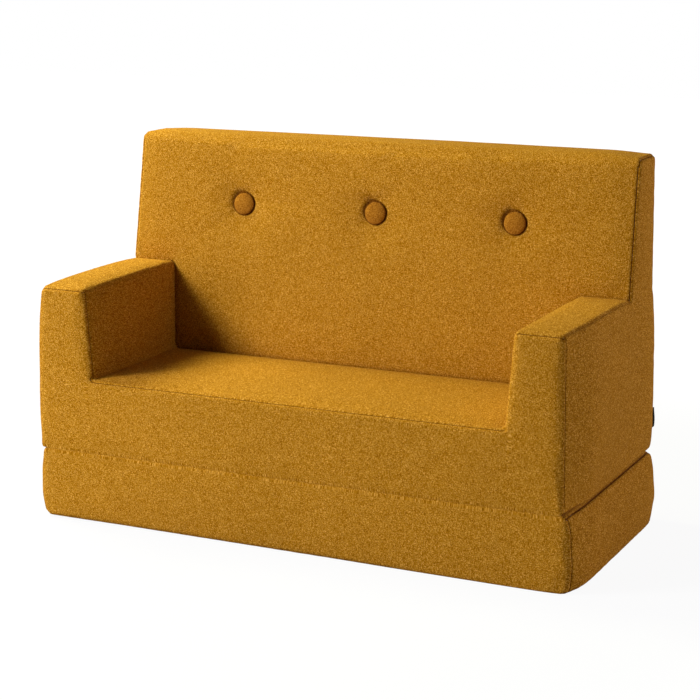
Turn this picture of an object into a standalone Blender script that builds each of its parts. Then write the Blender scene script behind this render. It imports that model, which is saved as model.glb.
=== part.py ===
# Kids flip open sofa: a foam mat and a foam sofa unit in sewn covers, joined by cloth along the front.
# Metres, +Z up, front towards -Y, +X on the right seen from the front.
# The origin is on the floor under the middle of the mat.

import math

import bmesh
import bpy
from mathutils import Matrix, Vector

# Overall sizes, over the covers
sofa_width = 0.780
sofa_depth = 0.357
mat_thickness = 0.100
layer_gap = 0.0005
seat_thickness = 0.1035
arm_rise = 0.127
arm_top_width = 0.069
arm_foot_width = 0.081
back_rise = 0.3145
back_top_depth = 0.069
back_foot_depth = 0.1225

# Cloth, and the gaps between the pieces
cloth_thickness = 0.0015
seam_gap = 0.0004
clearance = 0.0003

# Rounding of the edges
seam_round = 0.006
front_corner_round = 0.008
rear_corner_round = 0.007
crease_round = 0.003
side_base_round = 0.007
rear_base_round = 0.016
floor_round = 0.009
arm_edge_round = 0.006
inner_corner_round = 0.010
back_top_round = 0.012
cover_round_steps = 4
foam_round_steps = 2

# Crown of the covers: how far each face stands proud, and how far from its seams it is full
side_crown = 0.004
mat_side_crown = 0.007
front_crown = 0.0015
seat_crown = 0.004
arm_top_crown = 0.0015
back_crown = 0.004
rear_crown = 0.003
crown_reach = 0.070
hinge_clearance = 0.0005

# Give of the stuffed covers: the sides bow out half way up the arms and half way up the mat,
# the arm tops rise half way along, the back's top rises between its ends
side_front_bow = 0.008
side_rear_bow = 0.0045
mat_bow = 0.006
arch_fullness = 3
arm_lift = 0.0045
back_lift = 0.0045

# Buttons and their tufts; the height is over the seat
button_spacing = 0.213
button_height = 0.2187
button_count = 3
button_radius = 0.0165
button_rim = 0.0020
button_dome = 0.0050
button_slack = 0.0018
button_edge_share = 0.94
button_sink_share = 0.2
dome_steps = 5
tuft_cell = 0.066
tuft_depth = 0.0055
tuft_cut_count = 2
tuft_rim_share = 0.46
tuft_middle_share = 0.36
tuft_middle_depth_share = 0.22
tuft_seat_depth_share = 0.72
button_back_radius = 0.009
button_back_thickness = 0.0010
button_back_slack = 0.0012
shank_radius = 0.0018
shank_length = 0.0060
bore_radius = 0.0030
twine_radius = 0.0008
anchor_radius = 0.011
anchor_thickness = 0.0020
turned_sides = 16
twine_sides = 8

# Zips; the heights are over the underside of each layer
zip_end_margin = 0.080
slot_height = 0.012
sofa_slot_height = 0.045
mat_slot_height = 0.050
ridge_width = 0.005
ridge_height = 0.0013
slider_length = 0.011
slider_wall = 0.0010
slider_slack = 0.0004
bridge_length = 0.0014
bridge_bar = 0.0012
bridge_post = 0.0011
eye_radius = 0.0022
eye_bore = 0.0013
eye_width = 0.0026
eye_play = 0.0006
pull_length = 0.024
pull_width = 0.0064
pull_thickness = 0.0012
pull_neck = 0.0030
bore_overrun = 0.001

# Cloth loop in the rear seam
tag_height = 0.027
tag_reach = 0.009
tag_thickness = 0.0016
tag_slit = 0.0004
tag_middle_height = 0.052

# Cloth strip in the crease
strip_front_inset = 0.0004
strip_depth = 0.0012
strip_front_height = 0.0024
strip_rear_height = 0.0007

# Lines across the covers that let them curve, as shares of the length they divide
arm_row_shares = (0.33, 0.67)
seat_row_shares = (0.33, 0.67)
seat_line_shares = (0.15, 0.5, 0.85)
back_line_shares = (0.5,)
mat_column_shares = (-0.5, 0, 0.5)
mat_line_shares = (0.15, 0.5, 0.85)
mat_row_shares = (0.3, 0.5, 0.7)

# Two points count as one within this distance, two normals as one within this share
touch = 0.00001
plane_tolerance_share = 0.001
least_evenness_share = 0.6
cloth_smooth_angle = math.radians(40)

# Places that follow from the sizes
half_width = sofa_width / 2
front_y = -sofa_depth / 2
rear_y = sofa_depth / 2
base_z = mat_thickness + layer_gap
seat_z = base_z + seat_thickness
arm_z = seat_z + arm_rise
top_z = seat_z + back_rise
inner_foot_x = half_width - arm_foot_width
inner_top_x = half_width - arm_top_width
button_z = seat_z + button_height
foam_inset = cloth_thickness + clearance
hinge_y = front_y - front_crown - hinge_clearance
hinge_z = mat_thickness + layer_gap / 2
zip_length = sofa_width - 2 * zip_end_margin
slot_half_length = zip_length / 2
sofa_slot_z = base_z + sofa_slot_height
mat_slot_z = mat_slot_height

regions = [
    "front", "seat", "arm_top", "arm_inner", "left", "right", "back_front", "back_top", "rear", "base",
    "top", "open",
]


def back_y(z):
    """the reclined front of the back, at a height"""
    share = (z - seat_z) / back_rise
    return rear_y - back_foot_depth + share * (back_foot_depth - back_top_depth)


def inner_x(z):
    """the inner face of an arm, at a height"""
    share = (z - seat_z) / arm_rise
    return inner_foot_x + share * (inner_top_x - inner_foot_x)


def arch(value, low, high):
    """nothing at both ends of a span and one in its middle"""
    share = min(max((value - low) / (high - low), 0), 1)
    return 1 - abs(2 * share - 1) ** arch_fullness


def swell(distance):
    """nothing at a seam and one at the crown's reach from it"""
    left = 1 - min(max(distance / crown_reach, 0), 1)
    return 1 - left * left


def outer_share(x):
    """nothing up to the inside of an arm's top and one at the outside"""
    return max((abs(x) - inner_top_x) / arm_top_width, 0)


def side_bow(y, z):
    """how far the side of the upper unit bows out, at a depth and a height"""
    depth_share = (y - front_y) / sofa_depth
    bow = side_front_bow + depth_share * (side_rear_bow - side_front_bow)
    return bow * arch(z, base_z, arm_z)


recline = math.atan((back_foot_depth - back_top_depth) / back_rise)
back_out = Vector((0, -math.cos(recline), math.sin(recline)))


# Materials

def finish(name, colour, roughness, metallic=0.0):
    """one Principled finish"""
    material = bpy.data.materials.new(name)
    material.use_nodes = True
    shader = material.node_tree.nodes["Principled BSDF"]
    shader.inputs["Base Color"].default_value = (*colour, 1)
    shader.inputs["Roughness"].default_value = roughness
    shader.inputs["Metallic"].default_value = metallic
    material.diffuse_color = (*colour, 1)
    return material


def make_finishes():
    """the finishes of the whole sofa by name"""
    return {
        "cloth": finish("mustard_cloth", (0.52, 0.27, 0.035), 0.9),
        "button_cloth": finish("button_cloth", (0.42, 0.17, 0.03), 0.85),
        "foam": finish("foam", (0.85, 0.83, 0.74), 0.95),
        "dark_cloth": finish("dark_cloth", (0.01, 0.01, 0.01), 0.8),
        "zip_tape": finish("zip_tape", (0.30, 0.16, 0.03), 0.8),
        "steel": finish("steel", (0.55, 0.55, 0.56), 0.35, 1.0),
        "plastic": finish("plastic", (0.8, 0.8, 0.78), 0.5),
        "twine": finish("twine", (0.75, 0.7, 0.6), 0.8),
    }


# Shared tools

def add_object(name, mesh_data, material, parent=None, place=None, smooth_angle=None):
    """an object from a bmesh, under its parent empty, with its faces pointing out"""
    bmesh.ops.recalc_face_normals(mesh_data, faces=mesh_data.faces[:])
    mesh = bpy.data.meshes.new(name)
    mesh_data.to_mesh(mesh)
    mesh_data.free()
    for polygon in mesh.polygons:
        polygon.material_index = 0
    mesh.materials.append(material)
    if smooth_angle is not None:
        mesh.shade_smooth()
        mesh.set_sharp_from_angle(angle=smooth_angle)
    piece = bpy.data.objects.new(name, mesh)
    bpy.context.collection.objects.link(piece)
    if place is not None:
        piece.matrix_world = place
    if parent is not None:
        piece.parent = parent
        piece.matrix_parent_inverse = Matrix.Translation(-parent.location)
    return piece


def add_empty(name, location):
    """an empty on a joint's axis"""
    empty = bpy.data.objects.new(name, None)
    empty.location = location
    bpy.context.collection.objects.link(empty)
    return empty


def guide_object(mesh_data):
    """a passing object that carries modifiers"""
    mesh = bpy.data.meshes.new("guide")
    mesh_data.to_mesh(mesh)
    mesh_data.free()
    guide = bpy.data.objects.new("guide", mesh)
    guide.hide_render = True
    guide.display_type = "WIRE"
    bpy.context.collection.objects.link(guide)
    return guide


def settled(guide):
    """the evaluated mesh of a guide, which then goes"""
    shape = bmesh.new()
    shape.from_object(guide, bpy.context.evaluated_depsgraph_get())
    bpy.data.objects.remove(guide)
    return shape


def combined(base, tool, operation):
    """two closed shapes joined or cut by a Boolean"""
    guide = guide_object(base)
    other = guide_object(tool)
    boolean = guide.modifiers.new("combine", "BOOLEAN")
    boolean.operation = operation
    boolean.solver = "EXACT"
    boolean.object = other
    shape = settled(guide)
    bpy.data.objects.remove(other)
    return shape


def rounded(cage, rounds, steps):
    """the cage with the edges between two regions rounded to the radius given for that pair"""
    widest = max(rounds.values())
    weight = cage.edges.layers.float.new("bevel_weight_edge")
    for edge in cage.edges:
        pair = frozenset(regions[face.material_index] for face in edge.link_faces)
        edge[weight] = rounds.get(pair, 0) / widest
    guide = guide_object(cage)
    bevel = guide.modifiers.new("rounding", "BEVEL")
    bevel.limit_method = "WEIGHT"
    bevel.width = widest
    bevel.segments = steps
    bevel.use_clamp_overlap = False
    return settled(guide)


def round_table(*rows):
    """rows of (radius, region, regions that it meets) as a table for rounded()"""
    table = {}
    for radius, region, others in rows:
        for other in others:
            table[frozenset((region, other))] = radius
    return table


def box(low, high):
    """a box between two corners"""
    shape = bmesh.new()
    bmesh.ops.create_cube(shape, size=1)
    low, high = Vector(low), Vector(high)
    bmesh.ops.scale(shape, vec=high - low, verts=shape.verts)
    bmesh.ops.translate(shape, vec=(low + high) / 2, verts=shape.verts)
    return shape


def prism(outline, along):
    """an outline of points pushed along a vector into a closed solid"""
    shape = bmesh.new()
    face = shape.faces.new([shape.verts.new(point) for point in outline])
    pushed = bmesh.ops.extrude_face_region(shape, geom=[face], use_keep_orig=True)["geom"]
    corners = [item for item in pushed if isinstance(item, bmesh.types.BMVert)]
    bmesh.ops.translate(shape, vec=along, verts=corners)
    return shape


def turned(profile):
    """a profile of (radius, height) points turned about local Z; both ends lie on the axis"""
    shape = bmesh.new()
    corners = [shape.verts.new((radius, 0, height)) for radius, height in profile]
    edges = [shape.edges.new(pair) for pair in zip(corners, corners[1:])]
    bmesh.ops.spin(
        shape, geom=corners + edges, cent=(0, 0, 0), axis=(0, 0, 1), angle=math.tau,
        steps=turned_sides, use_merge=True,
    )
    bmesh.ops.remove_doubles(shape, verts=shape.verts, dist=touch)
    return shape


def cut_lines(form, axis, places, leave=()):
    """edge lines across a form, square to one axis, over all regions but those to leave"""
    normal = Vector(axis)
    for place in places:
        faces = [face for face in form.faces if regions[face.material_index] not in leave]
        cut_faces(form, faces, normal * place, normal)


def cut_faces(form, faces, point, normal):
    """cut some faces of a form along a plane"""
    pieces = set(faces)
    for face in faces:
        pieces.update(face.edges)
        pieces.update(face.verts)
    ordered = sorted(pieces, key=lambda item: (type(item).__name__, item.index))
    bmesh.ops.bisect_plane(form, geom=ordered, dist=touch, plane_co=point, plane_no=normal)
    for sequence in (form.verts, form.edges, form.faces):
        sequence.index_update()


def flat_faces(form, region):
    """the faces of a region that lie in its own plane, without the rounding beside it"""
    form.normal_update()
    faces = [face for face in form.faces if regions[face.material_index] == region]
    largest = max(faces, key=lambda face: face.calc_area())
    normal = largest.normal.copy()
    point = largest.calc_center_median()
    return [
        face for face in faces
        if (face.normal - normal).length < plane_tolerance_share
        and abs((face.calc_center_median() - point).dot(normal)) < touch
    ]


def span_distance(point, start, end):
    """from a point to a straight span"""
    along = end - start
    share = (point - start).dot(along) / along.length_squared
    return (point - start - along * min(max(share, 0), 1)).length


def crown(form, faces, amount):
    """swell a flat group of faces outwards: nothing at its rim, the full amount at the reach"""
    group = set(faces)
    outward = faces[0].normal.copy()
    rim = [edge for edge in form.edges if sum(face in group for face in edge.link_faces) == 1]
    rim_corners = {corner for edge in rim for corner in edge.verts}
    spans = [(edge.verts[0].co.copy(), edge.verts[1].co.copy()) for edge in rim]
    inner_corners = {corner for face in faces for corner in face.verts} - rim_corners
    for corner in inner_corners:
        nearest = min(span_distance(corner.co, start, end) for start, end in spans)
        corner.co += outward * amount * swell(nearest)


def sink_rings(form, cell, centre, outward, rings):
    """turn a square cell into rings of (radius, depth) about a centre; the cell ends as their floor"""
    bmesh.ops.bisect_edges(form, edges=cell.edges[:], cuts=tuft_cut_count)
    for radius, depth in rings:
        bmesh.ops.inset_individual(form, faces=[cell], thickness=0, depth=0)
        for corner in cell.verts:
            away = corner.co - centre
            away -= outward * away.dot(outward)
            corner.co = centre + away.normalized() * radius - outward * depth


def open_slot(form, region, middle_z):
    """leave a slot for the zip in a rear face"""
    half = slot_height / 2
    for place, axis in (
        (middle_z - half, (0, 0, 1)), (middle_z + half, (0, 0, 1)),
        (-slot_half_length, (1, 0, 0)), (slot_half_length, (1, 0, 0)),
    ):
        normal = Vector(axis)
        cut_faces(form, flat_faces(form, region), normal * place, normal)
    for face in flat_faces(form, region):
        middle = face.calc_center_median()
        if abs(middle.x) < slot_half_length and abs(middle.z - middle_z) < half:
            face.material_index = regions.index("open")


def draw_back(panel, amount):
    """move the rim of an open surface inwards, along the surface"""
    pulls = {}
    for edge in panel.edges:
        if edge.is_boundary:
            loop = edge.link_loops[0]
            along = loop.link_loop_next.vert.co - loop.vert.co
            inward = loop.face.normal.cross(along).normalized()
            for corner in edge.verts:
                pulls.setdefault(corner, []).append(inward)
    for corner, inwards in pulls.items():
        total = sum(inwards, Vector())
        evenness = max(total.length / len(inwards), least_evenness_share)
        corner.co += total.normalized() * (amount / evenness)


def cloth_panel(name, form, panel_regions, material, parent=None):
    """a panel of cloth: some regions of a form, drawn back at its seams and thickened inwards"""
    panel = form.copy()
    panel.normal_update()
    inwards = panel.verts.layers.float_vector.new("inwards")
    for corner in panel.verts:
        corner[inwards] = corner.normal * (-cloth_thickness * corner.calc_shell_factor())
    others = [face for face in panel.faces if regions[face.material_index] not in panel_regions]
    bmesh.ops.delete(panel, geom=others, context="FACES")
    panel.normal_update()
    draw_back(panel, seam_gap / 2)
    inside = bmesh.ops.extrude_face_region(panel, geom=panel.faces[:], use_keep_orig=True)["geom"]
    for item in inside:
        if isinstance(item, bmesh.types.BMVert):
            item.co += item[inwards]
    return add_object(name, panel, material, parent, smooth_angle=cloth_smooth_angle)


# The cover of the upper unit

def upper_region(face):
    """which face of the upper unit this is"""
    normal = face.normal
    middle = face.calc_center_median()
    if abs(normal.x) > abs(normal.y) and abs(normal.x) > abs(normal.z):
        if abs(middle.x) < half_width - touch:
            return "arm_inner"
        return "right" if middle.x > 0 else "left"
    if abs(normal.y) > abs(normal.z):
        if normal.y > 0:
            return "rear"
        return "front" if middle.y < front_y + touch else "back_front"
    if normal.z < 0:
        return "base"
    if middle.z < seat_z + touch:
        return "seat"
    return "arm_top" if middle.z < arm_z + touch else "back_top"


def raise_faces(shape, faces, rise):
    """push faces up, and give back the corners that moved"""
    pushed = bmesh.ops.extrude_face_region(shape, geom=faces, use_keep_orig=True)["geom"]
    bmesh.ops.delete(shape, geom=faces, context="FACES")
    corners = [item for item in pushed if isinstance(item, bmesh.types.BMVert)]
    bmesh.ops.translate(shape, vec=(0, 0, rise), verts=corners)
    bmesh.ops.recalc_face_normals(shape, faces=shape.faces[:])
    return corners


def upper_cage():
    """seat slab, arms and reclined back as one sharp-edged closed shape"""
    shape = box((-half_width, front_y, base_z), (half_width, rear_y, seat_z))
    cut_lines(shape, (1, 0, 0), (-inner_foot_x, inner_foot_x))
    cut_lines(shape, (0, 1, 0), (back_y(seat_z),))
    shape.normal_update()
    tops = [face for face in shape.faces if face.normal.z > abs(face.normal.x) + abs(face.normal.y)]
    raised = []
    for face in tops:
        middle = face.calc_center_median()
        if abs(middle.x) > inner_foot_x or middle.y > back_y(seat_z):
            raised.append(face)
    for corner in raise_faces(shape, raised, arm_rise):
        if abs(corner.co.x) < half_width - touch:
            corner.co.x = math.copysign(inner_top_x, corner.co.x)
        if front_y + touch < corner.co.y < rear_y - touch:
            corner.co.y = back_y(arm_z)
    rear_tops = []
    for face in shape.faces:
        middle = face.calc_center_median()
        if middle.z > arm_z - touch and middle.y > back_y(arm_z):
            rear_tops.append(face)
    for corner in raise_faces(shape, rear_tops, back_rise - arm_rise):
        if corner.co.y < rear_y - touch:
            corner.co.y = back_y(top_z)
    for face in shape.faces:
        face.material_index = regions.index(upper_region(face))
    inner_edges = []
    for edge in shape.edges:
        first, second = edge.link_faces
        if first.material_index == second.material_index:
            inner_edges.append(edge)
    bmesh.ops.dissolve_edges(shape, edges=inner_edges, use_verts=True)
    return shape


def button_places():
    """the middle of each button on the back's front plane"""
    first = -(button_count - 1) / 2
    return [
        Vector(((first + number) * button_spacing, back_y(button_z), button_z))
        for number in range(button_count)
    ]


def tuft_rings(last_radius):
    """rings of a sewn tuft as (radius, depth), ending in the bore of the twine"""
    return [
        (tuft_cell * tuft_rim_share, 0),
        (tuft_cell * tuft_middle_share, tuft_depth * tuft_middle_depth_share),
        (button_radius + button_slack, tuft_depth * tuft_seat_depth_share),
        (button_back_radius + button_back_slack, tuft_depth),
        (last_radius, tuft_depth),
    ]


def stuff_upper(form):
    """bow the sides out, the arm tops up and the back's top up"""
    arm_middle_z = (seat_z + arm_z) / 2
    lift_z = button_z + tuft_cell / 2
    for corner in form.verts:
        x, y, z = corner.co
        corner.co.x += math.copysign(outer_share(x) * side_bow(y, z), x)
        if z > arm_middle_z and y < back_y(arm_z):
            share = (z - arm_middle_z) / (arm_z - arm_middle_z)
            corner.co.z += arm_lift * share * arch(y, front_y, back_y(arm_z))
        if z > lift_z:
            share = (z - lift_z) / (top_z - lift_z)
            corner.co.z += back_lift * share * swell(half_width - abs(x))


def upper_form():
    """the rounded, crowned and tufted outside of the upper cover"""
    rounds = round_table(
        (seam_round, "front", ("arm_top", "arm_inner", "seat")),
        (front_corner_round, "front", ("left", "right")),
        (crease_round, "front", ("base",)),
        (seam_round, "left", ("arm_top", "back_front", "back_top")),
        (seam_round, "right", ("arm_top", "back_front", "back_top")),
        (rear_corner_round, "rear", ("left", "right")),
        (side_base_round, "base", ("left", "right")),
        (rear_base_round, "base", ("rear",)),
        (arm_edge_round, "arm_top", ("arm_inner",)),
        (inner_corner_round, "seat", ("arm_inner",)),
        (back_top_round, "back_top", ("back_front", "rear")),
    )
    form = rounded(upper_cage(), rounds, cover_round_steps)
    half_cell = tuft_cell / 2
    outer_button_x = button_spacing * (button_count - 1) / 2
    columns = [place.x + side * half_cell for place in button_places() for side in (-1, 1)]
    columns += [side * (outer_button_x + inner_top_x + half_cell) / 2 for side in (-1, 1)]
    columns += [side * button_spacing / 2 for side in (-1, 1)]
    cut_lines(form, (1, 0, 0), columns, leave=("base", "rear"))
    rows = [button_z - half_cell, button_z + half_cell]
    rows += [(arm_z + rows[0]) / 2, (top_z + rows[1]) / 2]
    rows += [seat_z + arm_rise * share for share in arm_row_shares]
    rows += [base_z + seat_thickness * share for share in seat_row_shares]
    cut_lines(form, (0, 0, 1), rows)
    seat_depth = sofa_depth - back_foot_depth
    lines = [front_y + seat_depth * share for share in seat_line_shares]
    lines += [rear_y - back_top_depth * share for share in back_line_shares]
    cut_lines(form, (0, 1, 0), lines, leave=("base", "back_front"))
    open_slot(form, "rear", sofa_slot_z)

    cells = []
    back_faces = flat_faces(form, "back_front")
    for place in button_places():
        cell = min(back_faces, key=lambda face: (face.calc_center_median() - place).length)
        cells.append(cell)
    crowned = [face for face in back_faces if face not in cells]
    crown(form, crowned, back_crown)
    for region, amount in (
        ("left", side_crown), ("right", side_crown), ("front", front_crown),
        ("seat", seat_crown), ("arm_top", arm_top_crown), ("rear", rear_crown),
    ):
        crown(form, flat_faces(form, region), amount)
    for place, cell in zip(button_places(), cells):
        sink_rings(form, cell, place, back_out, tuft_rings(bore_radius))
        cell.material_index = regions.index("open")
    stuff_upper(form)
    return form


def make_upper_cover(finishes):
    """the six cover panels of the upper unit"""
    form = upper_form()
    panels = {
        "front_panel": ("front",),
        "seat_gusset": ("seat", "arm_top", "arm_inner"),
        "left_side_panel": ("left",),
        "right_side_panel": ("right",),
        "back_panel": ("back_front", "back_top", "rear"),
        "base_panel": ("base",),
    }
    for name, panel_regions in panels.items():
        cloth_panel(name, form, panel_regions, finishes["cloth"])
    form.free()


# The foam of the upper unit

def box_region(face):
    """which side of a block this is, by its normal"""
    normal = face.normal
    if abs(normal.x) > abs(normal.y) and abs(normal.x) > abs(normal.z):
        return "right" if normal.x > 0 else "left"
    if abs(normal.y) > abs(normal.z):
        return "rear" if normal.y > 0 else "front"
    return "top" if normal.z > 0 else "base"


def name_sides(shape):
    """mark the six sides of a block"""
    shape.normal_update()
    for face in shape.faces:
        face.material_index = regions.index(box_region(face))


def make_seat_foam(finishes):
    """the slab under seat, arms and back"""
    shape = box(
        (-half_width + foam_inset, front_y + foam_inset, base_z + foam_inset),
        (half_width - foam_inset, rear_y - foam_inset, seat_z - foam_inset),
    )
    name_sides(shape)
    rounds = round_table(
        (front_corner_round, "front", ("left", "right")),
        (seam_round, "front", ("top",)),
        (crease_round, "front", ("base",)),
        (rear_corner_round, "rear", ("left", "right")),
        (side_base_round, "base", ("left", "right")),
        (rear_base_round, "base", ("rear",)),
    )
    add_object("seat_foam", rounded(shape, rounds, foam_round_steps), finishes["foam"])


def foam_front_y(z):
    """the front plane of the back foam, at a height"""
    return back_y(z) + foam_inset / math.cos(recline)


def make_arm_foam(name, side, finishes):
    """an arm block between the slab, the side panel and the back foam; side is -1 left, 1 right"""
    bottom = seat_z - foam_inset + clearance
    shape = box(
        (inner_foot_x, front_y + foam_inset, bottom),
        (half_width - foam_inset, rear_y, arm_z - foam_inset),
    )
    for corner in shape.verts:
        if corner.co.x < inner_foot_x + touch:
            corner.co.x = inner_x(corner.co.z) + foam_inset
        if corner.co.y > rear_y - touch:
            corner.co.y = foam_front_y(corner.co.z) - clearance / math.cos(recline)
    outer, inner = "right", "left"
    if side < 0:
        bmesh.ops.scale(shape, vec=(-1, 1, 1), verts=shape.verts)
        bmesh.ops.reverse_faces(shape, faces=shape.faces[:])
        outer, inner = "left", "right"
    name_sides(shape)
    rounds = round_table(
        (seam_round, "front", ("top", inner)),
        (front_corner_round, "front", (outer,)),
        (seam_round, "top", (outer,)),
        (arm_edge_round, "top", (inner,)),
    )
    add_object(name, rounded(shape, rounds, foam_round_steps), finishes["foam"])


def twine_run():
    """how far the twine's line runs, from the back's front plane to the face of the anchor discs"""
    anchor_face_y = rear_y - foam_inset - anchor_thickness
    return (anchor_face_y - back_y(button_z)) / math.cos(recline)


def anchor_places():
    """the middle of each anchor disc's front face"""
    return [place - back_out * twine_run() for place in button_places()]


def cell_at(shape, region, place):
    """a square cell cut out of a side of the foam, about a place"""
    half_cell = tuft_cell / 2
    for axis in ((1, 0, 0), (0, 0, 1)):
        normal = Vector(axis)
        for side in (-1, 1):
            point = normal * (place.dot(normal) + side * half_cell)
            cut_faces(shape, flat_faces(shape, region), point, normal)


def make_back_foam(finishes):
    """the reclined wedge, dished under each button and bored for its twine"""
    bottom = seat_z - foam_inset + clearance
    shape = box(
        (-half_width + foam_inset, front_y, bottom),
        (half_width - foam_inset, rear_y - foam_inset, top_z - foam_inset),
    )
    for corner in shape.verts:
        if corner.co.y < front_y + touch:
            corner.co.y = foam_front_y(corner.co.z)
    name_sides(shape)
    rounds = round_table(
        (seam_round, "front", ("left", "right")),
        (seam_round, "top", ("left", "right")),
        (back_top_round, "top", ("front", "rear")),
        (rear_corner_round, "rear", ("left", "right")),
    )
    shape = rounded(shape, rounds, foam_round_steps)
    ring_sides = 4 * (tuft_cut_count + 1)
    pit_radius = anchor_radius / math.cos(math.pi / ring_sides) + clearance
    pit_depth = anchor_thickness + clearance
    rear_rings = [(pit_radius, 0), (pit_radius, pit_depth), (bore_radius, pit_depth)]
    ends = []
    for region, places, outward, rings in (
        ("front", button_places(), back_out, tuft_rings(bore_radius)),
        ("rear", anchor_places(), Vector((0, 1, 0)), rear_rings),
    ):
        for place in places:
            cell_at(shape, region, place)
        faces = flat_faces(shape, region)
        plane = faces[0].calc_center_median()
        floors = []
        for place in places:
            centre = place + outward * (plane - place).dot(outward)
            cell = min(faces, key=lambda face: (face.calc_center_median() - centre).length)
            sink_rings(shape, cell, centre, outward, rings)
            floors.append(cell)
        ends.append(floors)
    for front_floor, rear_floor in zip(*ends):
        loops = list(front_floor.edges) + list(rear_floor.edges)
        bmesh.ops.delete(shape, geom=[front_floor, rear_floor], context="FACES_ONLY")
        bmesh.ops.bridge_loops(shape, edges=loops)
    add_object("back_foam", shape, finishes["foam"])


# The buttons, with their backs, twines and anchors

def make_buttons(finishes):
    """a domed button in each tuft, held by a twine through the foam"""
    tilt = Matrix.Rotation(math.pi / 2 - recline, 4, "X")
    cap_back = button_rim * button_sink_share - tuft_depth * tuft_seat_depth_share
    plate_front = cap_back - clearance
    plate_back = plate_front - button_back_thickness
    shank_end = plate_back - shank_length
    run_end = -(twine_run() - (clearance + twine_radius * math.sin(recline)) / math.cos(recline))
    for side, place, anchor in zip(("left", "centre", "right"), button_places(), anchor_places()):
        where = Matrix.Translation(place) @ tilt
        cap = [(0, cap_back)]
        cap += [(button_radius * button_edge_share, cap_back), (button_radius, cap_back + button_rim / 2)]
        for step in range(dome_steps + 1):
            turn = math.pi / 2 * step / dome_steps
            height = cap_back + button_rim + button_dome * math.sin(turn)
            cap.append((button_radius * math.cos(turn), height))
        add_object(f"{side}_button", turned(cap), finishes["button_cloth"], place=where,
                   smooth_angle=cloth_smooth_angle)
        back = [
            (0, plate_front), (button_back_radius, plate_front), (button_back_radius, plate_back),
            (shank_radius, plate_back), (shank_radius, shank_end), (0, shank_end),
        ]
        add_object(f"{side}_button_back", turned(back), finishes["steel"], place=where,
                   smooth_angle=cloth_smooth_angle)
        twine_start = shank_end - clearance
        twine = bmesh.new()
        bmesh.ops.create_cone(
            twine, cap_ends=True, segments=twine_sides, radius1=twine_radius, radius2=twine_radius,
            depth=twine_start - run_end,
        )
        bmesh.ops.translate(twine, vec=(0, 0, (twine_start + run_end) / 2), verts=twine.verts)
        add_object(f"{side}_twine", twine, finishes["twine"], place=where)
        disc = [
            (0, 0), (anchor_radius, 0), (anchor_radius, anchor_thickness), (0, anchor_thickness),
        ]
        flat = Matrix.Translation(anchor) @ Matrix.Rotation(-math.pi / 2, 4, "X")
        add_object(f"{side}_anchor_disc", turned(disc), finishes["plastic"], place=flat,
                   smooth_angle=cloth_smooth_angle)


# The mat

def mat_block(inset):
    """the mat as a block, drawn in on all sides"""
    shape = box(
        (-half_width + inset, front_y + inset, inset),
        (half_width - inset, rear_y - inset, mat_thickness - inset),
    )
    name_sides(shape)
    return shape


def mat_spread(y, z):
    """how far the side of the mat spreads, at a depth and a height: full down to the floor"""
    height_arch = arch(z, 0, mat_thickness)
    fullness = 1 if z < mat_thickness / 2 else height_arch
    return mat_bow * height_arch + mat_side_crown * fullness * swell(min(y - front_y, rear_y - y))


def make_mat(finishes, hinge):
    """the foam mat and its six cover panels, all carried by the hinge"""
    rounds = round_table(
        (front_corner_round, "front", ("left", "right")),
        (rear_corner_round, "rear", ("left", "right")),
        (crease_round, "top", ("front",)),
        (side_base_round, "top", ("left", "right")),
        (rear_base_round, "top", ("rear",)),
        (floor_round, "base", ("front", "rear", "left", "right")),
    )
    foam = rounded(mat_block(foam_inset), rounds, foam_round_steps)
    add_object("mat_foam", foam, finishes["foam"], hinge)
    form = rounded(mat_block(0), rounds, cover_round_steps)
    cut_lines(form, (1, 0, 0), [half_width * share for share in mat_column_shares], leave=("base", "top"))
    cut_lines(form, (0, 1, 0), [front_y + sofa_depth * share for share in mat_line_shares],
              leave=("base", "top"))
    cut_lines(form, (0, 0, 1), [mat_thickness * share for share in mat_row_shares])
    open_slot(form, "rear", mat_slot_z)
    crown(form, flat_faces(form, "front"), front_crown)
    crown(form, flat_faces(form, "rear"), rear_crown)
    for corner in form.verts:
        x, y, z = corner.co
        corner.co.x += math.copysign(outer_share(x) * mat_spread(y, z), x)
    panels = {
        "mat_top_panel": "top", "mat_bottom_panel": "base", "mat_front_panel": "front",
        "mat_rear_panel": "rear", "mat_left_panel": "left", "mat_right_panel": "right",
    }
    for name, region in panels.items():
        cloth_panel(name, form, (region,), finishes["cloth"], hinge)
    form.free()


# The zips

def zip_tape(middle_z):
    """tape and teeth of a closed zip: a flat strip with a ridge, in the plane of the cloth"""
    half_tape = slot_height / 2 - clearance
    half_ridge = ridge_width / 2
    low_y = rear_y - cloth_thickness
    high_y = rear_y + ridge_height
    half_length = slot_half_length - clearance
    outline = [
        (-half_length, low_y, middle_z - half_tape),
        (-half_length, rear_y, middle_z - half_tape),
        (-half_length, rear_y, middle_z - half_ridge),
        (-half_length, high_y, middle_z - half_ridge),
        (-half_length, high_y, middle_z + half_ridge),
        (-half_length, rear_y, middle_z + half_ridge),
        (-half_length, rear_y, middle_z + half_tape),
        (-half_length, low_y, middle_z + half_tape),
    ]
    return prism(outline, (half_length * 2, 0, 0))


slider_ceiling = ridge_height + slider_slack
slider_roof = slider_ceiling + slider_wall
pin_height = slider_roof + eye_radius + clearance
slider_rest_x = slot_half_length - clearance - slider_length


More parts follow.
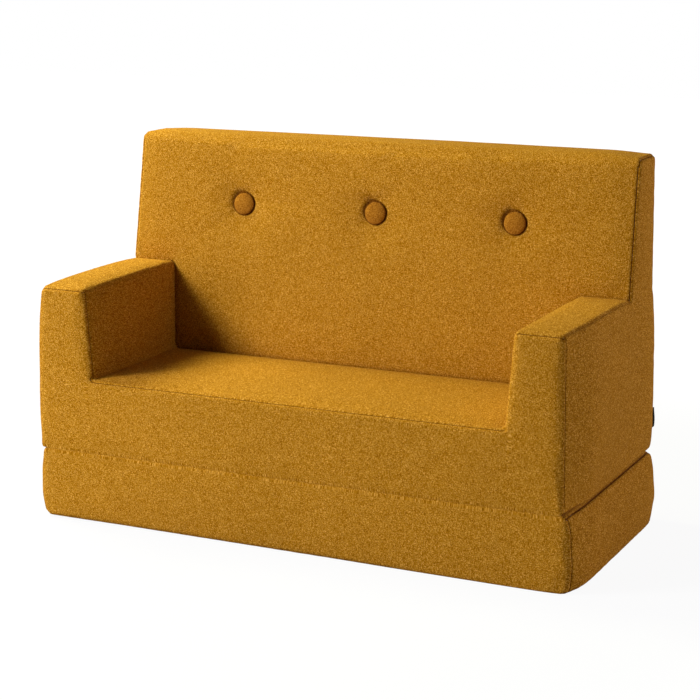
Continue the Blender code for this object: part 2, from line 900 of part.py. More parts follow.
def zip_slider():
    """a channel that straddles the teeth, with a bridge for the pull; +Y is away from the cloth"""
    inner = ridge_width / 2 + slider_slack
    outer = inner + slider_wall
    low_x = -slider_length / 2
    outline = [
        (low_x, slider_slack, -outer), (low_x, slider_roof, -outer),
        (low_x, slider_roof, outer), (low_x, slider_slack, outer),
        (low_x, slider_slack, inner), (low_x, slider_ceiling, inner),
        (low_x, slider_ceiling, -inner), (low_x, slider_slack, -inner),
    ]
    channel = prism(outline, (slider_length, 0, 0))
    window = eye_width / 2 + eye_play
    post = window + bridge_post
    foot = slider_roof - slider_wall / 2
    bar_low = pin_height - bridge_bar / 2
    bar_high = pin_height + bridge_bar / 2
    edge_x = -bridge_length / 2
    bridge_outline = [
        (edge_x, foot, -post), (edge_x, bar_high, -post), (edge_x, bar_high, post), (edge_x, foot, post),
        (edge_x, foot, window), (edge_x, bar_low, window), (edge_x, bar_low, -window), (edge_x, foot, -window),
    ]
    bridge = prism(bridge_outline, (bridge_length, 0, 0))
    for shape in (channel, bridge):
        bmesh.ops.recalc_face_normals(shape, faces=shape.faces[:])
    return combined(channel, bridge, "UNION")


def zip_pull():
    """a flat tab along -X with an eye round the bridge; the origin is on the eye's axis"""
    eye = bmesh.new()
    bmesh.ops.create_cone(
        eye, cap_ends=True, segments=turned_sides, radius1=eye_radius, radius2=eye_radius, depth=eye_width
    )
    bore = bmesh.new()
    bmesh.ops.create_cone(
        bore, cap_ends=True, segments=turned_sides, radius1=eye_bore, radius2=eye_bore,
        depth=eye_width + bore_overrun,
    )
    half_eye = eye_width / 2
    half_pull = pull_width / 2
    root_x = -(eye_bore + eye_radius) / 2
    shoulder_x = -(pull_neck + half_pull - half_eye)
    corner = half_pull / 2
    low_y = -pull_thickness / 2
    outline = [
        (root_x, low_y, -half_eye), (-pull_neck, low_y, -half_eye), (shoulder_x, low_y, -half_pull),
        (corner - pull_length, low_y, -half_pull), (-pull_length, low_y, -corner),
        (-pull_length, low_y, corner), (corner - pull_length, low_y, half_pull),
        (shoulder_x, low_y, half_pull), (-pull_neck, low_y, half_eye), (root_x, low_y, half_eye),
    ]
    tab = prism(outline, (0, pull_thickness, 0))
    bmesh.ops.recalc_face_normals(tab, faces=tab.faces[:])
    return combined(combined(eye, tab, "UNION"), bore, "DIFFERENCE")


def make_zip(prefix, middle_z, finishes, parent=None):
    """a zip with its tape in the slot, its slider at the closed end and the slider's pull"""
    add_object(f"{prefix}_zip_tape", zip_tape(middle_z), finishes["zip_tape"], parent)
    slider_place = Matrix.Translation((slider_rest_x, rear_y, middle_z))
    pull_place = Matrix.Translation((slider_rest_x, rear_y + pin_height, middle_z))
    add_object(f"{prefix}_zip_slider", zip_slider(), finishes["steel"], parent, slider_place)
    add_object(f"{prefix}_zip_pull", zip_pull(), finishes["steel"], parent, pull_place)


# The loop in the rear seam and the strip in the crease

def make_side_tag(finishes):
    """a folded strip of cloth in the seam of the right rear corner, pointing to the rear"""
    seam_inset = rear_corner_round * (1 - math.cos(math.pi / 4))
    middle_x = half_width - seam_inset + side_bow(rear_y, base_z + tag_middle_height)
    start_y = rear_y - seam_inset + tag_thickness / 2 + clearance
    end_y = start_y + tag_reach
    low_z = base_z + tag_middle_height - tag_height / 2
    half = tag_thickness / 2
    slit = tag_slit / 2
    fold = end_y - half
    outline = [
        (middle_x + half, start_y, low_z), (middle_x + half, fold, low_z), (middle_x, end_y, low_z),
        (middle_x - half, fold, low_z), (middle_x - half, start_y, low_z),
        (middle_x - slit, start_y, low_z), (middle_x - slit, fold, low_z),
        (middle_x + slit, fold, low_z), (middle_x + slit, start_y, low_z),
    ]
    add_object("side_tag", prism(outline, (0, 0, tag_height)), finishes["dark_cloth"])


def make_hinge_strip(finishes):
    """the strip of cloth that joins both covers in the front crease"""
    half_length = half_width - front_corner_round
    near_y = front_y + strip_front_inset
    far_y = near_y + strip_depth
    outline = [
        (-half_length, near_y, hinge_z - strip_front_height / 2),
        (-half_length, near_y, hinge_z + strip_front_height / 2),
        (-half_length, far_y, hinge_z + strip_rear_height / 2),
        (-half_length, far_y, hinge_z - strip_rear_height / 2),
    ]
    add_object("hinge_strip", prism(outline, (half_length * 2, 0, 0)), finishes["cloth"])


def build_sofa():
    """all pieces of the sofa"""
    for old in list(bpy.data.objects):
        bpy.data.objects.remove(old)
    finishes = make_finishes()
    make_seat_foam(finishes)
    make_arm_foam("left_arm_foam", -1, finishes)
    make_arm_foam("right_arm_foam", 1, finishes)
    make_back_foam(finishes)
    make_upper_cover(finishes)
    make_buttons(finishes)
    make_zip("sofa", sofa_slot_z, finishes)
    make_side_tag(finishes)
    make_hinge_strip(finishes)
    hinge = add_empty("flip_hinge", (0, hinge_y, hinge_z))
    make_mat(finishes, hinge)
    make_zip("mat", mat_slot_z, finishes, hinge)
    print(f"hinge axis y {hinge_y:.5f} z {hinge_z:.5f}")
    print(f"slider rest x {slider_rest_x:.5f}, pin height {pin_height:.5f}")


build_sofa()
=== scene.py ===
from math import atan, atan2, copysign, cos, exp, pi, radians, sin, tanh, tau

import bmesh
import bpy
from bmesh import ops
from mathutils import Matrix, Vector, kdtree, noise


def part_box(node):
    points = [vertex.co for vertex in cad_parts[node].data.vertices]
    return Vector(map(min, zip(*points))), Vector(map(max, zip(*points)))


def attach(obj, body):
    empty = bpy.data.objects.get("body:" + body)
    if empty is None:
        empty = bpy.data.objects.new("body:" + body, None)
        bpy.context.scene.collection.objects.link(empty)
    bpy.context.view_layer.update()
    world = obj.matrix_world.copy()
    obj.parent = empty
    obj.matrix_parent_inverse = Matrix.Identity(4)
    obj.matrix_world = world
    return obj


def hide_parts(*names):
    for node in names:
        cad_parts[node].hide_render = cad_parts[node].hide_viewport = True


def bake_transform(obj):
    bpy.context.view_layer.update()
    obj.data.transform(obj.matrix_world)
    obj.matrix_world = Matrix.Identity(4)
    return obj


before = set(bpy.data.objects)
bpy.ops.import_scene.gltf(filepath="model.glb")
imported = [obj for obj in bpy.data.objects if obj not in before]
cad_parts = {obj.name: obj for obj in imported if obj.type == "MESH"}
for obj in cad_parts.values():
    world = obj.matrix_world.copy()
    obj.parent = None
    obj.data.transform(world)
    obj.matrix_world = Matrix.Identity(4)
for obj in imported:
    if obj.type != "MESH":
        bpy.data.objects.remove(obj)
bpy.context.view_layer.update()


class Values(dict):
    # a dictionary whose values are read as attributes
    __getattr__ = dict.__getitem__


# places and sizes in metres, as in the solids; +Z up, front towards -Y
sofa = Values(
    halfWidth=0.390,
    frontY=-0.1785,
    creaseY=-0.1802,  # just short of the hinge's axis, where the two fronts meet when the mat lies open
    creaseOver=0.003,  # and how far over the seat the fronts stay behind it
    rearY=0.1785,
    matTop=0.100,
    baseZ=0.1005,
    seatZ=0.204,
    armZ=0.331,
    topZ=0.5185,
    innerFootX=0.309,
    innerTopX=0.321,
    backFootY=0.056,
    backTopY=0.1095,
    thickerArm=0.0065,  # the right arm is stuffed fuller on its inside
    tuckedFront=0.0075,  # its front seam is drawn in
    frontRim=0.004,
    underside=0.0001,  # no cloth lies lower
)
slack = 0.001  # places nearer to each other than this count as one

# how every cover is cut and sewn
cover = Values(
    cell=0.0095,  # width of the squares that the cloth is worked in
    roundSteps=4,
    upright=0.3, facingFront=0.12, facingSide=0.4,  # parts of the normal along Z, Y and X
    openWeave=0.6,  # yarns along the depth of the seat, arms and sides for one elsewhere
    cloth=0.0013, seamStep=0.0005,
    seamGap=0.00012, sharpest=0.6,  # half the open width of a seam, and what limits it at corners
    foldDepth=0.0032,  # how far the allowance turns in
    valley=0.0008, valleyWidth=0.0012,
    shallow=0.3,  # part of the valley left where a seam has no painted shade
    ridge=0.00042, ridgeAt=0.0046, ridgeWidth=0.0024,
    dogEar=0.0014, dogEarWidth=0.0030, dogEarEnd=0.010,  # how far a corner of three panels is drawn in
    noDogEar=0.012,  # but not this near to the crease
    pucker=0.00028, puckerLength=0.0135, puckerReach=0.009,
    uneven=0.00018, unevenLength=0.045, unevenFrom=0.02,
    darkWidth=0.001,  # every seam's painted shade is stretched to this
)

# the straight lines that the upper unit's slanted faces are mapped from
straight = Values(
    innerX=(sofa.innerFootX + sofa.innerTopX) / 2,
    backY=(sofa.backFootY + sofa.backTopY) / 2,
)

button = Values(
    xs=(-0.2117, 0.0013, 0.2143), z=0.4227, radius=0.0160,
    back=-0.0030, rim=0.0018, dome=0.0050, fullness=0.90, domeSteps=12, sides=60,
    rear=((0.60, 0), (0.93, 0), (0.985, 0.0005)),  # its profile: share of the radius, height
    cell=0.033,  # half the square of cloth drawn in by a button
    rings=(
        (0.0315, 0.0001), (0.0283, 0.0004), (0.0258, 0.0009), (0.0236, 0.0016), (0.0218, 0.0023),
        (0.0203, 0.0030), (0.0190, 0.0036), (0.0178, 0.0041), (0.0158, 0.0045), (0.0110, 0.0046),
        (0.0050, 0.0046),
    ),
    held=0.0190, free=0.0235,
    gathers=30, gatherDepth=0.00013, gatherFrom=0.8, gatherTo=0.0022, toSeam=0.02,
    pressed=0.0050, pressedTo=(0.0190, 0.0300), pressedDepth=0.02,  # the foam under the cloth
)

zipSlots = Values(sofa=0.1455, mat=0.0500, halfHeight=0.006, halfLength=0.310, spare=0.004)

regions = (
    "front", "seat", "armTop", "armInner", "left", "right", "backFront", "backTop", "rear", "base", "top",
    "open",
)
recline = atan((sofa.backTopY - sofa.backFootY) / (sofa.topZ - sofa.seatZ))


def share(value, low, high):
    return min(max((value - low) / (high - low), 0.0), 1.0)


def arch(value, low, high):  # nothing at both ends, one in the middle
    return 1 - abs(2 * share(value, low, high) - 1) ** 3


def swell(distance):  # nothing at a seam, one 70 mm from it
    return 1 - (1 - share(distance, 0, 0.070)) ** 2


def ease(value):
    return value * value * (3 - 2 * value)


# shader maths

class Wire:
    # an output that adds a Math node for each sum and product

    def __init__(self, finish, socket):
        self.finish = finish
        self.socket = socket

    def maths(self, operation, first, second):
        return self.finish.add("Math", {"operation": operation}, {0: first, 1: second})

    def __add__(self, other):
        return self.maths("ADD", self, other)

    def __mul__(self, other):
        return self.maths("MULTIPLY", self, other)

    def sine(self):
        return self.finish.add("Math", {"operation": "SINE"}, {0: self})


class Nodes:
    # a node tree and the shader that it feeds

    def __init__(self, tree, shader):
        self.tree = tree
        self.shader = tree.nodes[shader]

    def feed(self, values, node=None):
        node = node or self.shader
        for socket, value in values.items():
            if isinstance(value, Wire):
                self.tree.links.new(value.socket, node.inputs[socket])
            else:
                node.inputs[socket].default_value = value

    def add(self, kind, settings=None, values=None, output=0):
        node = self.tree.nodes.new("ShaderNode" + kind)
        settings = dict(settings or {})
        stops = settings.pop("stops", ())
        for setting, value in settings.items():
            setattr(node, setting, value)
        for number, (place, colour) in enumerate(stops):
            spare = node.color_ramp.elements
            stop = spare[number] if number < len(spare) else spare.new(place)
            stop.position = place
            stop.color = (*colour, 1)
        self.feed(values or {}, node)
        return Wire(self, node.outputs[output])

    def place(self):
        return self.add("TexCoord", output=3)

    def scaled(self, coordinates, scale):
        return self.add("Mapping", {}, {"Vector": coordinates, "Scale": scale})

    def noise(self, coordinates, scale, detail=2.0, roughness=0.5):
        return self.add(
            "TexNoise", {"noise_dimensions": "3D"},
            {"Vector": coordinates, "Scale": scale, "Detail": detail, "Roughness": roughness},
        )

    def mapped(self, value, fromLow, fromHigh, toLow, toHigh):
        return self.add(
            "MapRange", {"interpolation_type": "SMOOTHSTEP"},
            {0: value, 1: fromLow, 2: fromHigh, 3: toLow, 4: toHigh},
        )

    def mixed(self, factor, first, second, way="MIX"):
        return self.add(
            "Mix", {"data_type": "RGBA", "blend_type": way}, {0: factor, 6: first, 7: second}, output=2
        )

    def bumped(self, height, strength, distance):
        normal = self.add("Bump", {}, {"Height": height, "Strength": strength, "Distance": distance})
        self.feed({"Normal": normal})


class Finish(Nodes):
    # a Principled material

    def __init__(self, name, colour, fixed):
        self.material = bpy.data.materials.new(name)
        self.material.use_nodes = True
        self.material.diffuse_color = (*colour, 1)
        super().__init__(self.material.node_tree, "Principled BSDF")
        self.feed({"Base Color": (*colour, 1), **fixed})


def grey(value):  # a plain colour from a number
    return (value, value, value, 1)


mustard = {
    "name": "mustardCloth",
    "colour": (0.50, 0.235, 0.022),
    "yarns": ((0.0, (0.150, 0.050, 0.0010)), (0.35, (0.300, 0.118, 0.003)), (0.62, (0.435, 0.195, 0.012)),
              (1.0, (0.750, 0.410, 0.078))),
    "fleck": 0.00050,  # size of a fleck of dyed fibre
    "yarn": 0.00060,  # width of a yarn
    "run": 0.0060,  # length over which a yarn keeps its shade
    "pitch": 0.00086,  # from one crossing of the yarns to the next
    "rough": 0.92, "bump": 0.55, "sheen": 0.05,
    "gloss": (1.0, 0.55, 0.12, 1),
}

rust = {
    "name": "rustButtonCloth",
    "colour": (0.37, 0.135, 0.022),
    "yarns": ((0.0, (0.160, 0.050, 0.0032)), (0.38, (0.270, 0.096, 0.006)), (0.62, (0.345, 0.135, 0.010)),
              (1.0, (0.470, 0.215, 0.028))),
    "fleck": 0.0008, "yarn": 0.0005, "run": 0.0030, "pitch": 0.0009,
    "rough": 0.85, "bump": 0.35, "sheen": 0.06,
    "gloss": (1.0, 0.50, 0.14, 1),
}


def wovenCloth(weave):
    cloth = Finish(weave["name"], weave["colour"], {
        "Roughness": weave["rough"], "Specular IOR Level": 0.06, "Specular Tint": weave["gloss"],
        "Sheen Weight": weave["sheen"], "Sheen Roughness": 0.5, "Sheen Tint": weave["gloss"],
    })
    along = cloth.add("UVMap", {"uv_map": "weave"})
    yarn, run, pitch = weave["yarn"], weave["run"], weave["pitch"]
    fleck = cloth.noise(along, 1 / weave["fleck"], 2.0, 0.6)
    warp = cloth.noise(cloth.scaled(along, (1 / yarn, 1 / run, 1)), 1.0, 1.0)
    weft = cloth.noise(cloth.scaled(along, (1 / run, 1 / yarn, 1)), 1.0, 1.0)
    crossing = cloth.add("TexWhiteNoise", {"noise_dimensions": "2D"}, {
        "Vector": cloth.add("VectorMath", {"operation": "SNAP"}, {0: along, 1: (pitch, pitch, 1)})})
    fibres = cloth.add("MapRange", {}, {0: fleck * 0.45 + warp * 0.37 + weft * 0.18, 1: 0.40, 2: 0.60})
    dyed = cloth.add("ValToRGB", {"stops": weave["yarns"]}, {"Fac": crossing * 0.70 + fibres * 0.30})
    broad = cloth.noise(cloth.place(), 7.0, 3.0)
    dyed = cloth.mixed(1.0, dyed, cloth.mixed(broad, grey(0.90), grey(1.10)), "MULTIPLY")
    # painted shade: the cloth's colour is darkened towards the seams and round the buttons' rims, where shade
    # falls in the crevices, and most at each button's upper left, where its shadow falls
    seam = cloth.add("Attribute", {"attribute_name": "paintedShadeDistance"}, {}, output=2)
    unshaded = cloth.mapped(seam, 0.0001, cover.darkWidth, 0.0, 1.0)
    paintedShade = cloth.mixed(unshaded, (0.36, 0.26, 0.20, 1), grey(1.0))
    cloth.feed({"Base Color": cloth.mixed(1.0, dyed, paintedShade, "MULTIPLY")})
    split, turn = cloth.add("SeparateXYZ", {}, {0: along}), pi / pitch
    rise = Wire(cloth, split.socket.node.outputs[1])
    ribs = (split * turn).sine() * (rise * turn).sine()
    cloth.bumped(ribs * 0.25 + fleck * 0.7 + (warp + weft) * 0.3, weave["bump"], 0.0005)
    return cloth.material


def foamFinish():
    foam = Finish("openCellFoam", (0.80, 0.77, 0.66), {"Roughness": 0.95, "Specular IOR Level": 0.1})
    place = foam.place()
    cells = foam.add("TexVoronoi", {}, {"Vector": place, "Scale": 900.0})
    tone = foam.noise(place, 14.0, 3.0)
    colour = foam.mixed(tone, (0.74, 0.70, 0.56, 1), (0.86, 0.84, 0.75, 1))
    walls = foam.mapped(cells, 0.0, 0.55, 0.35, 0.0)
    foam.feed({"Base Color": foam.mixed(walls, colour, (0.52, 0.48, 0.36, 1))})
    foam.bumped(cells, 0.6, 0.0008)
    return foam.material


def steelFinish():
    steel = Finish("platedSteel", (0.55, 0.55, 0.56), {"Metallic": 1.0})
    place = steel.place()
    brushed = steel.noise(steel.scaled(place, (120, 2600, 2600)), 1.0, 3.0)
    worn = steel.noise(place, 260.0, 3.0)
    steel.feed({
        "Roughness": brushed * 0.16 + worn * 0.14 + 0.20,
        "Base Color": steel.mixed(worn, (0.48, 0.47, 0.46, 1), (0.62, 0.62, 0.63, 1)),
    })
    steel.bumped(brushed, 0.15, 0.0001)
    return steel.material


def plasticFinish():
    plastic = Finish("mouldedPlastic", (0.80, 0.80, 0.78), {"Roughness": 0.45})
    place = plastic.place()
    grain = plastic.noise(place, 1500.0, 2.0)
    plastic.feed({"Roughness": grain * 0.2 + 0.35,
                  "Base Color": plastic.mixed(plastic.noise(place, 60.0), (0.74, 0.74, 0.71, 1), grey(0.83))})
    plastic.bumped(grain, 0.2, 0.0001)
    return plastic.material


def twineFinish():
    twine = Finish("waxedTwine", (0.75, 0.70, 0.60), {"Roughness": 0.7})
    place = twine.place()
    fibres = twine.noise(twine.scaled(place, (2500, 400, 2500)), 1.0, 3.0)
    twine.feed({"Base Color": twine.mixed(fibres, (0.60, 0.54, 0.43, 1), (0.84, 0.80, 0.71, 1))})
    twine.bumped(fibres, 0.4, 0.0002)
    return twine.material


ribbon = {"bands": "Z", "scale": 420.0, "distortion": 0.0, "fine": 2200.0, "ribs": 0.4, "bump": 0.5}
zipTape = {"bands": "DIAGONAL", "scale": 300.0, "distortion": 1.0, "fine": 1600.0, "ribs": 0.6, "bump": 0.4}


def ribbedFinish(name, weave, colour, specular, dark, light):
    cloth = Finish(name, colour, {"Roughness": 0.8, "Specular IOR Level": specular})
    place = cloth.place()
    ribs = cloth.add("TexWave", {"wave_type": "BANDS", "bands_direction": weave["bands"]},
                     {"Vector": place, "Scale": weave["scale"], "Distortion": weave["distortion"]})
    fibres = cloth.noise(place, weave["fine"], 2.0)
    tone = ribs * weave["ribs"] + fibres * (1 - weave["ribs"])
    cloth.feed({"Base Color": cloth.mixed(tone, (*dark, 1), (*light, 1))})
    cloth.bumped(ribs + fibres * weave["bump"], weave["bump"], 0.0002)
    return cloth.material


def zipFinish(name, dark, light):
    return ribbedFinish(name, zipTape, light, 0.25, dark, light)


finishes = {
    "cloth": wovenCloth(mustard),
    "button_cloth": wovenCloth(rust),
    "foam": foamFinish(),
    "steel": steelFinish(),
    "plastic": plasticFinish(),
    "twine": twineFinish(),
    "dark_cloth": ribbedFinish("blackRibbon", ribbon, (0.006,) * 3, 0.1, (0.002,) * 3, (0.010,) * 3),
    "zip_tape": zipFinish("zipTape", (0.20, 0.088, 0.010), (0.36, 0.170, 0.022)),
}
teethFinish = zipFinish("zipCoil", (0.13, 0.058, 0.010), (0.24, 0.115, 0.020))
print("finishes ready")


# shared tools

def objectFrom(name, shape, material=None, smoothAngle=None):
    mesh = bpy.data.meshes.new(name)
    shape.to_mesh(mesh)
    shape.free()
    piece = bpy.data.objects.new(name, mesh)
    bpy.context.collection.objects.link(piece)
    if material:
        mesh.materials.clear()
        mesh.materials.append(material)
        mesh.polygons.foreach_set("material_index", [0] * len(mesh.polygons))
        mesh.shade_smooth()
        if smoothAngle is not None:
            mesh.set_sharp_from_angle(angle=radians(smoothAngle))
    return piece


def evaluated(piece):  # the shape with its modifiers worked in; the piece goes
    shape = bmesh.new()
    shape.from_object(piece, bpy.context.evaluated_depsgraph_get())
    bpy.data.objects.remove(piece)
    return shape


def finer(piece):
    smooth = piece.modifiers.new("finer", "SUBSURF")
    smooth.levels = smooth.render_levels = 1


def thickened(piece, thickness, offset):
    wall = piece.modifiers.new("cloth", "SOLIDIFY")
    wall.thickness = thickness
    wall.offset = offset


def block(low, high):
    shape = bmesh.new()
    ops.create_cube(shape, size=1)
    low, high = Vector(low), Vector(high)
    ops.scale(shape, vec=high - low, verts=shape.verts)
    ops.translate(shape, vec=(low + high) / 2, verts=shape.verts)
    return shape


def cut(shape, axis, places):
    normal = Vector(axis)
    for place in places:
        everything = shape.verts[:] + shape.edges[:] + shape.faces[:]
        ops.bisect_plane(shape, geom=everything, dist=1e-6, plane_co=normal * place, plane_no=normal)


def cornersOf(items):
    return [item for item in items if isinstance(item, bmesh.types.BMVert)]


def chain(shape, places):  # edges from each place to the next
    corners = [shape.verts.new(place) for place in places]
    return corners, [shape.edges.new(pair) for pair in zip(corners, corners[1:])]


def woven(shape, placeOf, toSeam):  # a small piece laid on the flat cloth, at one distance from any seam, which sets how much painted seam shade it gets
    weave = shape.loops.layers.uv.new("weave")
    seam = shape.verts.layers.float.new("paintedShadeDistance")
    for face in shape.faces:
        for loop in face.loops:
            loop[weave].uv = placeOf(loop.vert.co)
    for corner in shape.verts:
        corner[seam] = toSeam


def divided(lines, cell):  # places from the first line to the last, with each line kept
    places = [lines[0]]
    for low, high in zip(lines, lines[1:]):
        count = max(round((high - low) / cell), 1)
        places += [low + (high - low) * step / count for step in range(1, count + 1)]
    return places


def finished(piece, body, nodes=()):
    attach(piece, body)
    if nodes:
        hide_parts(*nodes)
    return piece


# the sewn covers

def regionOf(face):
    return regions[face.material_index]


def setRegion(face, region):
    face.material_index = regions.index(region)


def pairOf(edge):  # the regions on both sides of an edge
    return frozenset(regionOf(face) for face in edge.link_faces)


def rounded(shape, rounds):  # the edges between two regions rounded by the radius given for the pair
    widest = max(rounds.values())
    weight = shape.edges.layers.float.new("bevel_weight_edge")
    for edge in shape.edges:
        edge[weight] = rounds.get(pairOf(edge), 0) / widest
    guide = objectFrom("guide", shape)
    bevel = guide.modifiers.new("rounding", "BEVEL")
    bevel.limit_method = "WEIGHT"
    bevel.width = widest
    bevel.segments = cover.roundSteps
    bevel.use_clamp_overlap = False
    return evaluated(guide)


def wrapFront(shape):
    # cloth facing the front goes round its upright edges, so that their seams lie on the sides; at the back's
    # outer edges it goes only a little way round
    shape.normal_update()
    for face in shape.faces:
        normal, region = face.normal, regionOf(face)
        if abs(normal.z) >= cover.upright or region not in ("left", "right", "armInner", "backFront"):
            continue
        middle = face.calc_center_median()
        behind = middle.y > sofa.frontY / 2
        if behind and region != "armInner" and abs(middle.x) > sofa.innerTopX:
            if abs(normal.x) > cover.facingSide:
                region = "right" if normal.x > 0 else "left"
            elif normal.y < -cover.facingFront:
                region = "backFront"
        elif region != "backFront" and normal.y < -cover.facingFront:
            region = "backFront" if behind else "front"
        setRegion(face, region)


def roundTable(rows):
    return {frozenset((region, other)): radius for radius, region, others in rows for other in others}


def raised(shape, rise, chosen):
    faces = [face for face in shape.faces if chosen(face.calc_center_median())]
    pushed = ops.extrude_face_region(shape, geom=faces, use_keep_orig=True)["geom"]
    ops.delete(shape, geom=faces, context="FACES")
    ops.translate(shape, vec=(0, 0, rise), verts=cornersOf(pushed))
    ops.recalc_face_normals(shape, faces=shape.faces[:])


def upperRegion(normal, middle):
    if abs(normal.x) > 0.5:
        if abs(middle.x) < sofa.halfWidth - slack:
            return "armInner"
        return "right" if middle.x > 0 else "left"
    if abs(normal.y) > 0.5:
        if normal.y > 0:
            return "rear"
        return "front" if middle.y < sofa.frontY + slack else "backFront"
    if normal.z < 0:
        return "base"
    if middle.z < sofa.seatZ + slack:
        return "seat"
    return "armTop" if middle.z < sofa.armZ + slack else "backTop"


def upperBlock():
    half = sofa.halfWidth
    shape = block((-half, sofa.frontY, sofa.baseZ), (half, sofa.rearY, sofa.seatZ))
    cut(shape, (1, 0, 0), (-straight.innerX, straight.innerX))
    cut(shape, (0, 1, 0), (straight.backY,))
    raised(shape, sofa.armZ - sofa.seatZ, lambda middle: middle.z > sofa.seatZ - slack and (
        abs(middle.x) > straight.innerX or middle.y > straight.backY))
    raised(shape, sofa.topZ - sofa.armZ, lambda middle: middle.z > sofa.armZ - slack and (
        middle.y > straight.backY))
    shape.normal_update()
    for face in shape.faces:
        setRegion(face, upperRegion(face.normal, face.calc_center_median()))
    loose = [edge for edge in shape.edges if pairOf(edge) == {"backFront"}]
    ops.dissolve_edges(shape, edges=loose, use_verts=True)
    return shape


def sinkTuft(shape, centre):  # a square of cloth drawn into rings under a button
    near = []
    for face in shape.faces:
        middle = face.calc_center_median() - centre
        if regionOf(face) == "backFront" and max(abs(middle.x), abs(middle.z)) < button.cell:
            near.append(face)
    cell = ops.dissolve_faces(shape, faces=near)["region"][0]
    for radius, depth in button.rings:
        ops.inset_individual(shape, faces=[cell], thickness=0, depth=0)
        for corner in cell.verts:
            away = Vector((corner.co.x - centre.x, 0, corner.co.z - centre.z)).normalized()
            corner.co = centre + away * radius + Vector((0, depth, 0))


def byFront(y, end):  # one at the front, nothing from the given place on
    return 1 - ease(share(y, sofa.frontY + sofa.frontRim, end))


# between which distances from the front, the crease and the outermost line it fades, and how much it does
squared = Values(ends=(0.006, 0.045), heights=(0.0045, 0.0075), margins=(0.0075, 0.0060), part=0.8)


def squaredOff(place, above):  # near the front, where the strip joins the covers, their sides stay full
    near = 1 - ease(share(place.y, *(sofa.frontY + end for end in squared.ends)))
    low = 1 - share(above, *squared.heights)
    outer = share(abs(place.x), *(sofa.halfWidth - margin for margin in squared.margins))
    return copysign(squared.part * near * low * outer * (sofa.halfWidth - abs(place.x)), place.x)


upper = Values(
    flatSeat=0.250, flatFront=-0.08,  # the part of the seat that the slants leave alone
    pastTop=1.05,  # share of the back's rise at which its slant ends
    bowFront=0.008, bowRear=0.0045, bowBelow=0.012,
    tuckEnd=-0.095,  # where the drawn-in seam of the right front ends
    leftIn=0.0025, leftFoot=0.0020,  # how far in the left side lies over its arm and at its foot
    armCrown=0.0037, backCrown=0.0045,
    backRise=0.0015, riseEnds=(-0.3, 0.1),  # the back's top is higher on the right
)


def leanUpper(place):  # from the straight block to the slanted arms, the reclined back and the bowed sides
    x, y, z = place
    side = copysign(1, x)
    height = share(z, sofa.seatZ, sofa.armZ)
    inner = sofa.innerFootX + height * (sofa.innerTopX - sofa.innerFootX)
    if side > 0:
        inner -= sofa.thickerArm
    if abs(x) > straight.innerX:
        hold = 1 - share(abs(x), straight.innerX, sofa.halfWidth)
    else:
        hold = share(abs(x), upper.flatSeat, straight.innerX)
    newX = x + side * hold * (inner - straight.innerX)
    lean = min(max((z - sofa.seatZ) / (sofa.topZ - sofa.seatZ), 0), upper.pastTop)
    backY = sofa.backFootY + lean * (sofa.backTopY - sofa.backFootY)
    if y > straight.backY:
        hold = 1 - share(y, straight.backY, sofa.rearY)
    else:
        hold = share(y, upper.flatFront, straight.backY)
    newY = y + hold * (backY - straight.backY)
    outer = share(abs(newX), sofa.innerTopX, sofa.halfWidth)
    bow = upper.bowFront + share(y, sofa.frontY, sofa.rearY) * (upper.bowRear - upper.bowFront)
    if side > 0:
        nearFront = byFront(y, upper.tuckEnd)
        bow *= 1 - nearFront
        newX -= outer * nearFront * sofa.tuckedFront
    elif z > sofa.armZ:
        newX -= outer * upper.leftIn
    else:
        newX -= outer * (upper.leftFoot * (1 - share(z, sofa.baseZ, sofa.seatZ)))
    newX += side * outer * bow * arch(z, sofa.baseZ - upper.bowBelow, sofa.armZ)
    newX += squaredOff(place, z - sofa.baseZ)
    newZ = z
    crownFrom = (sofa.seatZ + sofa.armZ) / 2
    if z > crownFrom and y < straight.backY - slack:
        crown = upper.armCrown * share(z, crownFrom, sofa.armZ)
        newZ += crown * arch(y, sofa.frontY, straight.backY)
    liftFrom = button.z + button.cell
    if z > liftFrom:
        lift = upper.backCrown * swell(sofa.halfWidth - abs(x))
        lift += upper.backRise * share(x, *upper.riseEnds)
        newZ += lift * share(z, liftFrom, sofa.topZ)
    return Vector((newX, newY, newZ))


mat = Values(
    spread=0.0055, fuller=0.006,  # how far the sides stand out, and how much more between corners
    lowest=(0.010, 0.060),  # heights between which the foot's shape fades
    rightFoot=0.0045, footEnd=-0.09,  # the right side's foot stands out behind its front
    frontFoot=0.0016, frontFootTo=0.300,  # the front's foot stands out towards the right,
    leftLift=0.0024, liftEnds=(-0.170, 0.270),  # and is lifted towards the left
    worn=(0.002, 0.038), wornLeft=0.3, wornSide=0.0055, wornRear=0.0060, wornFront=0.0020,
    tight=0.65, tightEnds=(0.080, 0.330), tightEdge=0.0062,  # a sharper edge on the right
    rightIn=0.0035, rightInFrom=0.080, rightInEnd=-0.11,  # the right front is in at its top
)


